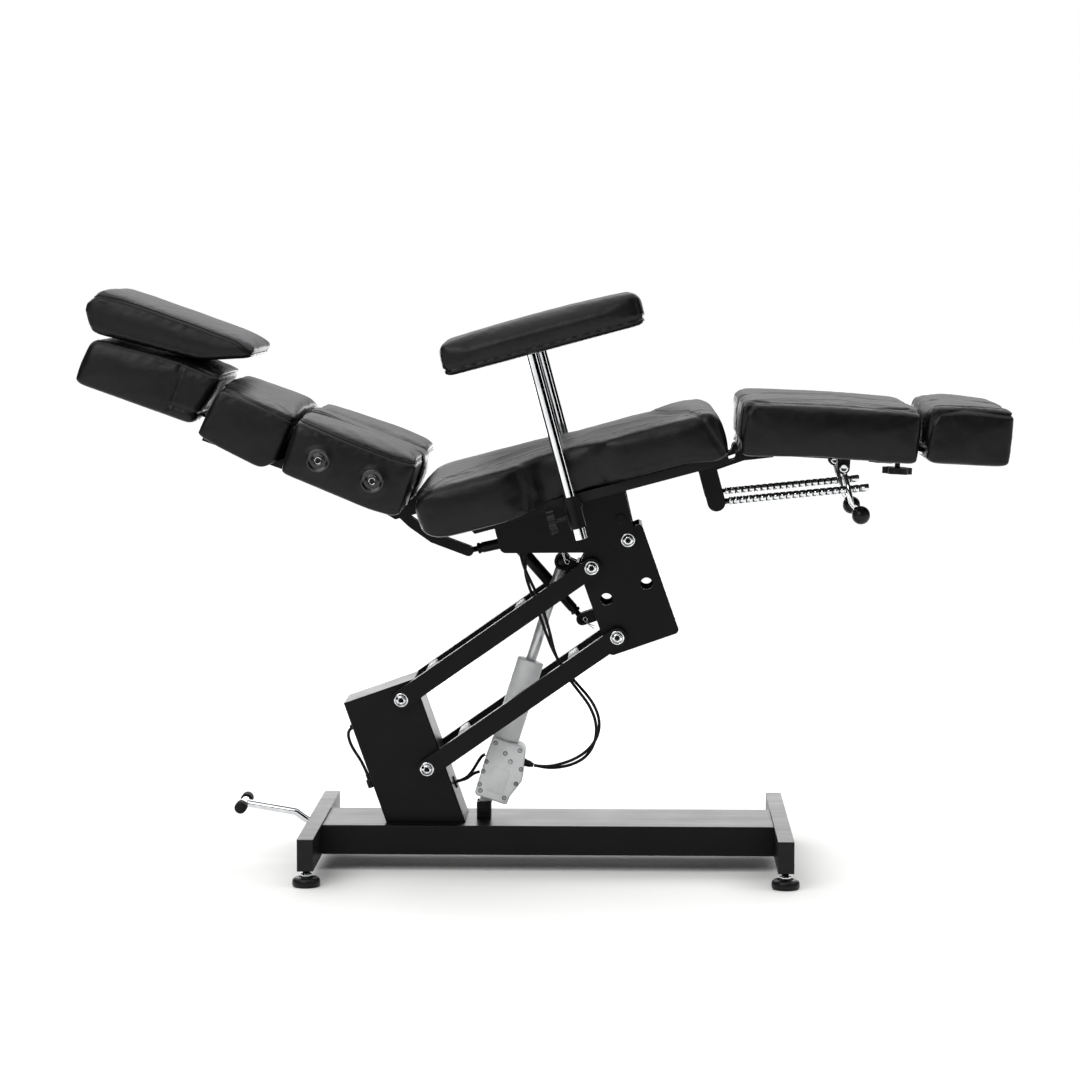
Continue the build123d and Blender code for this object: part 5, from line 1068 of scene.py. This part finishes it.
# Headrest block, with a stitched seam round its lower end, and the piped pillow on it
make_pad(
    "head_pad_soft", "head_pad", "head", back,
    [
        Seam("along", 558, "stitched", lambda along, up, across: (up < 74) & (np.abs(across) > 60)),
        Seam("height", [(470, 66), (560, 72), (760, 60)], "crease"),
        Seam("height", [(470, -12), (600, -12)], "crease", lambda along, up, across: along < 556),
    ],
    seed=51,
)
pillow_seam = [(430, 112), (445, 131), (480, 142), (560, 144), (700, 143), (750, 136), (770, 120), (780, 106)]
pillow = make_pad(
    "pillow_soft", "head_cushion", "head", back,
    [
        Seam("height", pillow_seam, "piped"),
        Seam("height", [(430, 60), (470, 78), (530, 84), (700, 72), (780, 72)], "crease"),
    ],
    seed=61,
)[0]
# Its top panel, over the piping, gets the greyer vinyl: a painted sheen of the light on its top
pillow.data.materials.append(pillow_top_painted_sheen)
along, up, across = back.local(read(pillow.data.polygons, "center", 3))
top_panel_sheen = up > np.interp(along, *np.array(pillow_seam, float).T) + 1
pillow.data.polygons.foreach_set("material_index", top_panel_sheen.astype(np.int32))
leg_seam = [(-14, -10), (-6, 20), (-1, 60), (5, 88), (17, 104), (60, 108), (172, 111), (298, 103), (330, 99)]
leg_pads = make_pad(
    "leg_pad_near_soft", "leg_pad_near", "leg_near", leg,
    [
        Seam("height", leg_seam),
        Seam("across", 100, "crease", lambda along, up, across: (up > 70) & (along < 300)),
    ],
    seed=71, middle=-134, sole=2,
)
other_side(leg_pads, "leg_pad_far", "leg_far")
foot_seam = [(320, -10), (332, 20), (338, 60), (344, 88), (356, 103), (400, 111), (496, 104)]
foot_pads = make_pad(
    "foot_pad_near_soft", "foot_pad_near", "foot_near", leg,
    [Seam("height", foot_seam), Seam("across", 100, "crease", lambda along, up, across: up > 80)],
    seed=81, middle=-134,
    cut=(Vector(leg.place(330.5, 0)), Vector((-leg.along[0], 0, -leg.along[1]))),
)
# The far foot pad stands 12 mm further out than the near one, and the far armrest 10 mm lower
other_side(foot_pads, "foot_pad_far", "foot_far", leg.place(12, 0) - leg.place(0, 0))
arm_seam = [(-250, 404), (150, 404)]
arm_pads = make_pad(
    "arm_pad_near_soft", "arm_pad_near", "arm_pad_near_body", seat, [Seam("height", arm_seam, "crease")],
    voxel=5.5, seed=91, middle=-252, cap=6, shrink=2.5,
)
other_side(arm_pads, "arm_pad_far", "arm_pad_far_body", seat.place(0, -10) - seat.place(0, 0))

# The rods that carry the foot pads
foot_rod_form = [(0, 0), (0, 5), (1, 6), (236, 6), (236, 0)]
leg_way = leg.place(1, 0) - leg.place(0, 0)
for side, word, out in ((-1, "near", 0), (1, "far", 12)):
    rods = [lathe(leg.place(200 + out, 30, side * 134 + way), leg_way, foot_rod_form) for way in (-60, 60)]
    mesh_piece(f"foot_rods_{word}", *merge(rods), f"foot_{word}", chrome, "chrome")
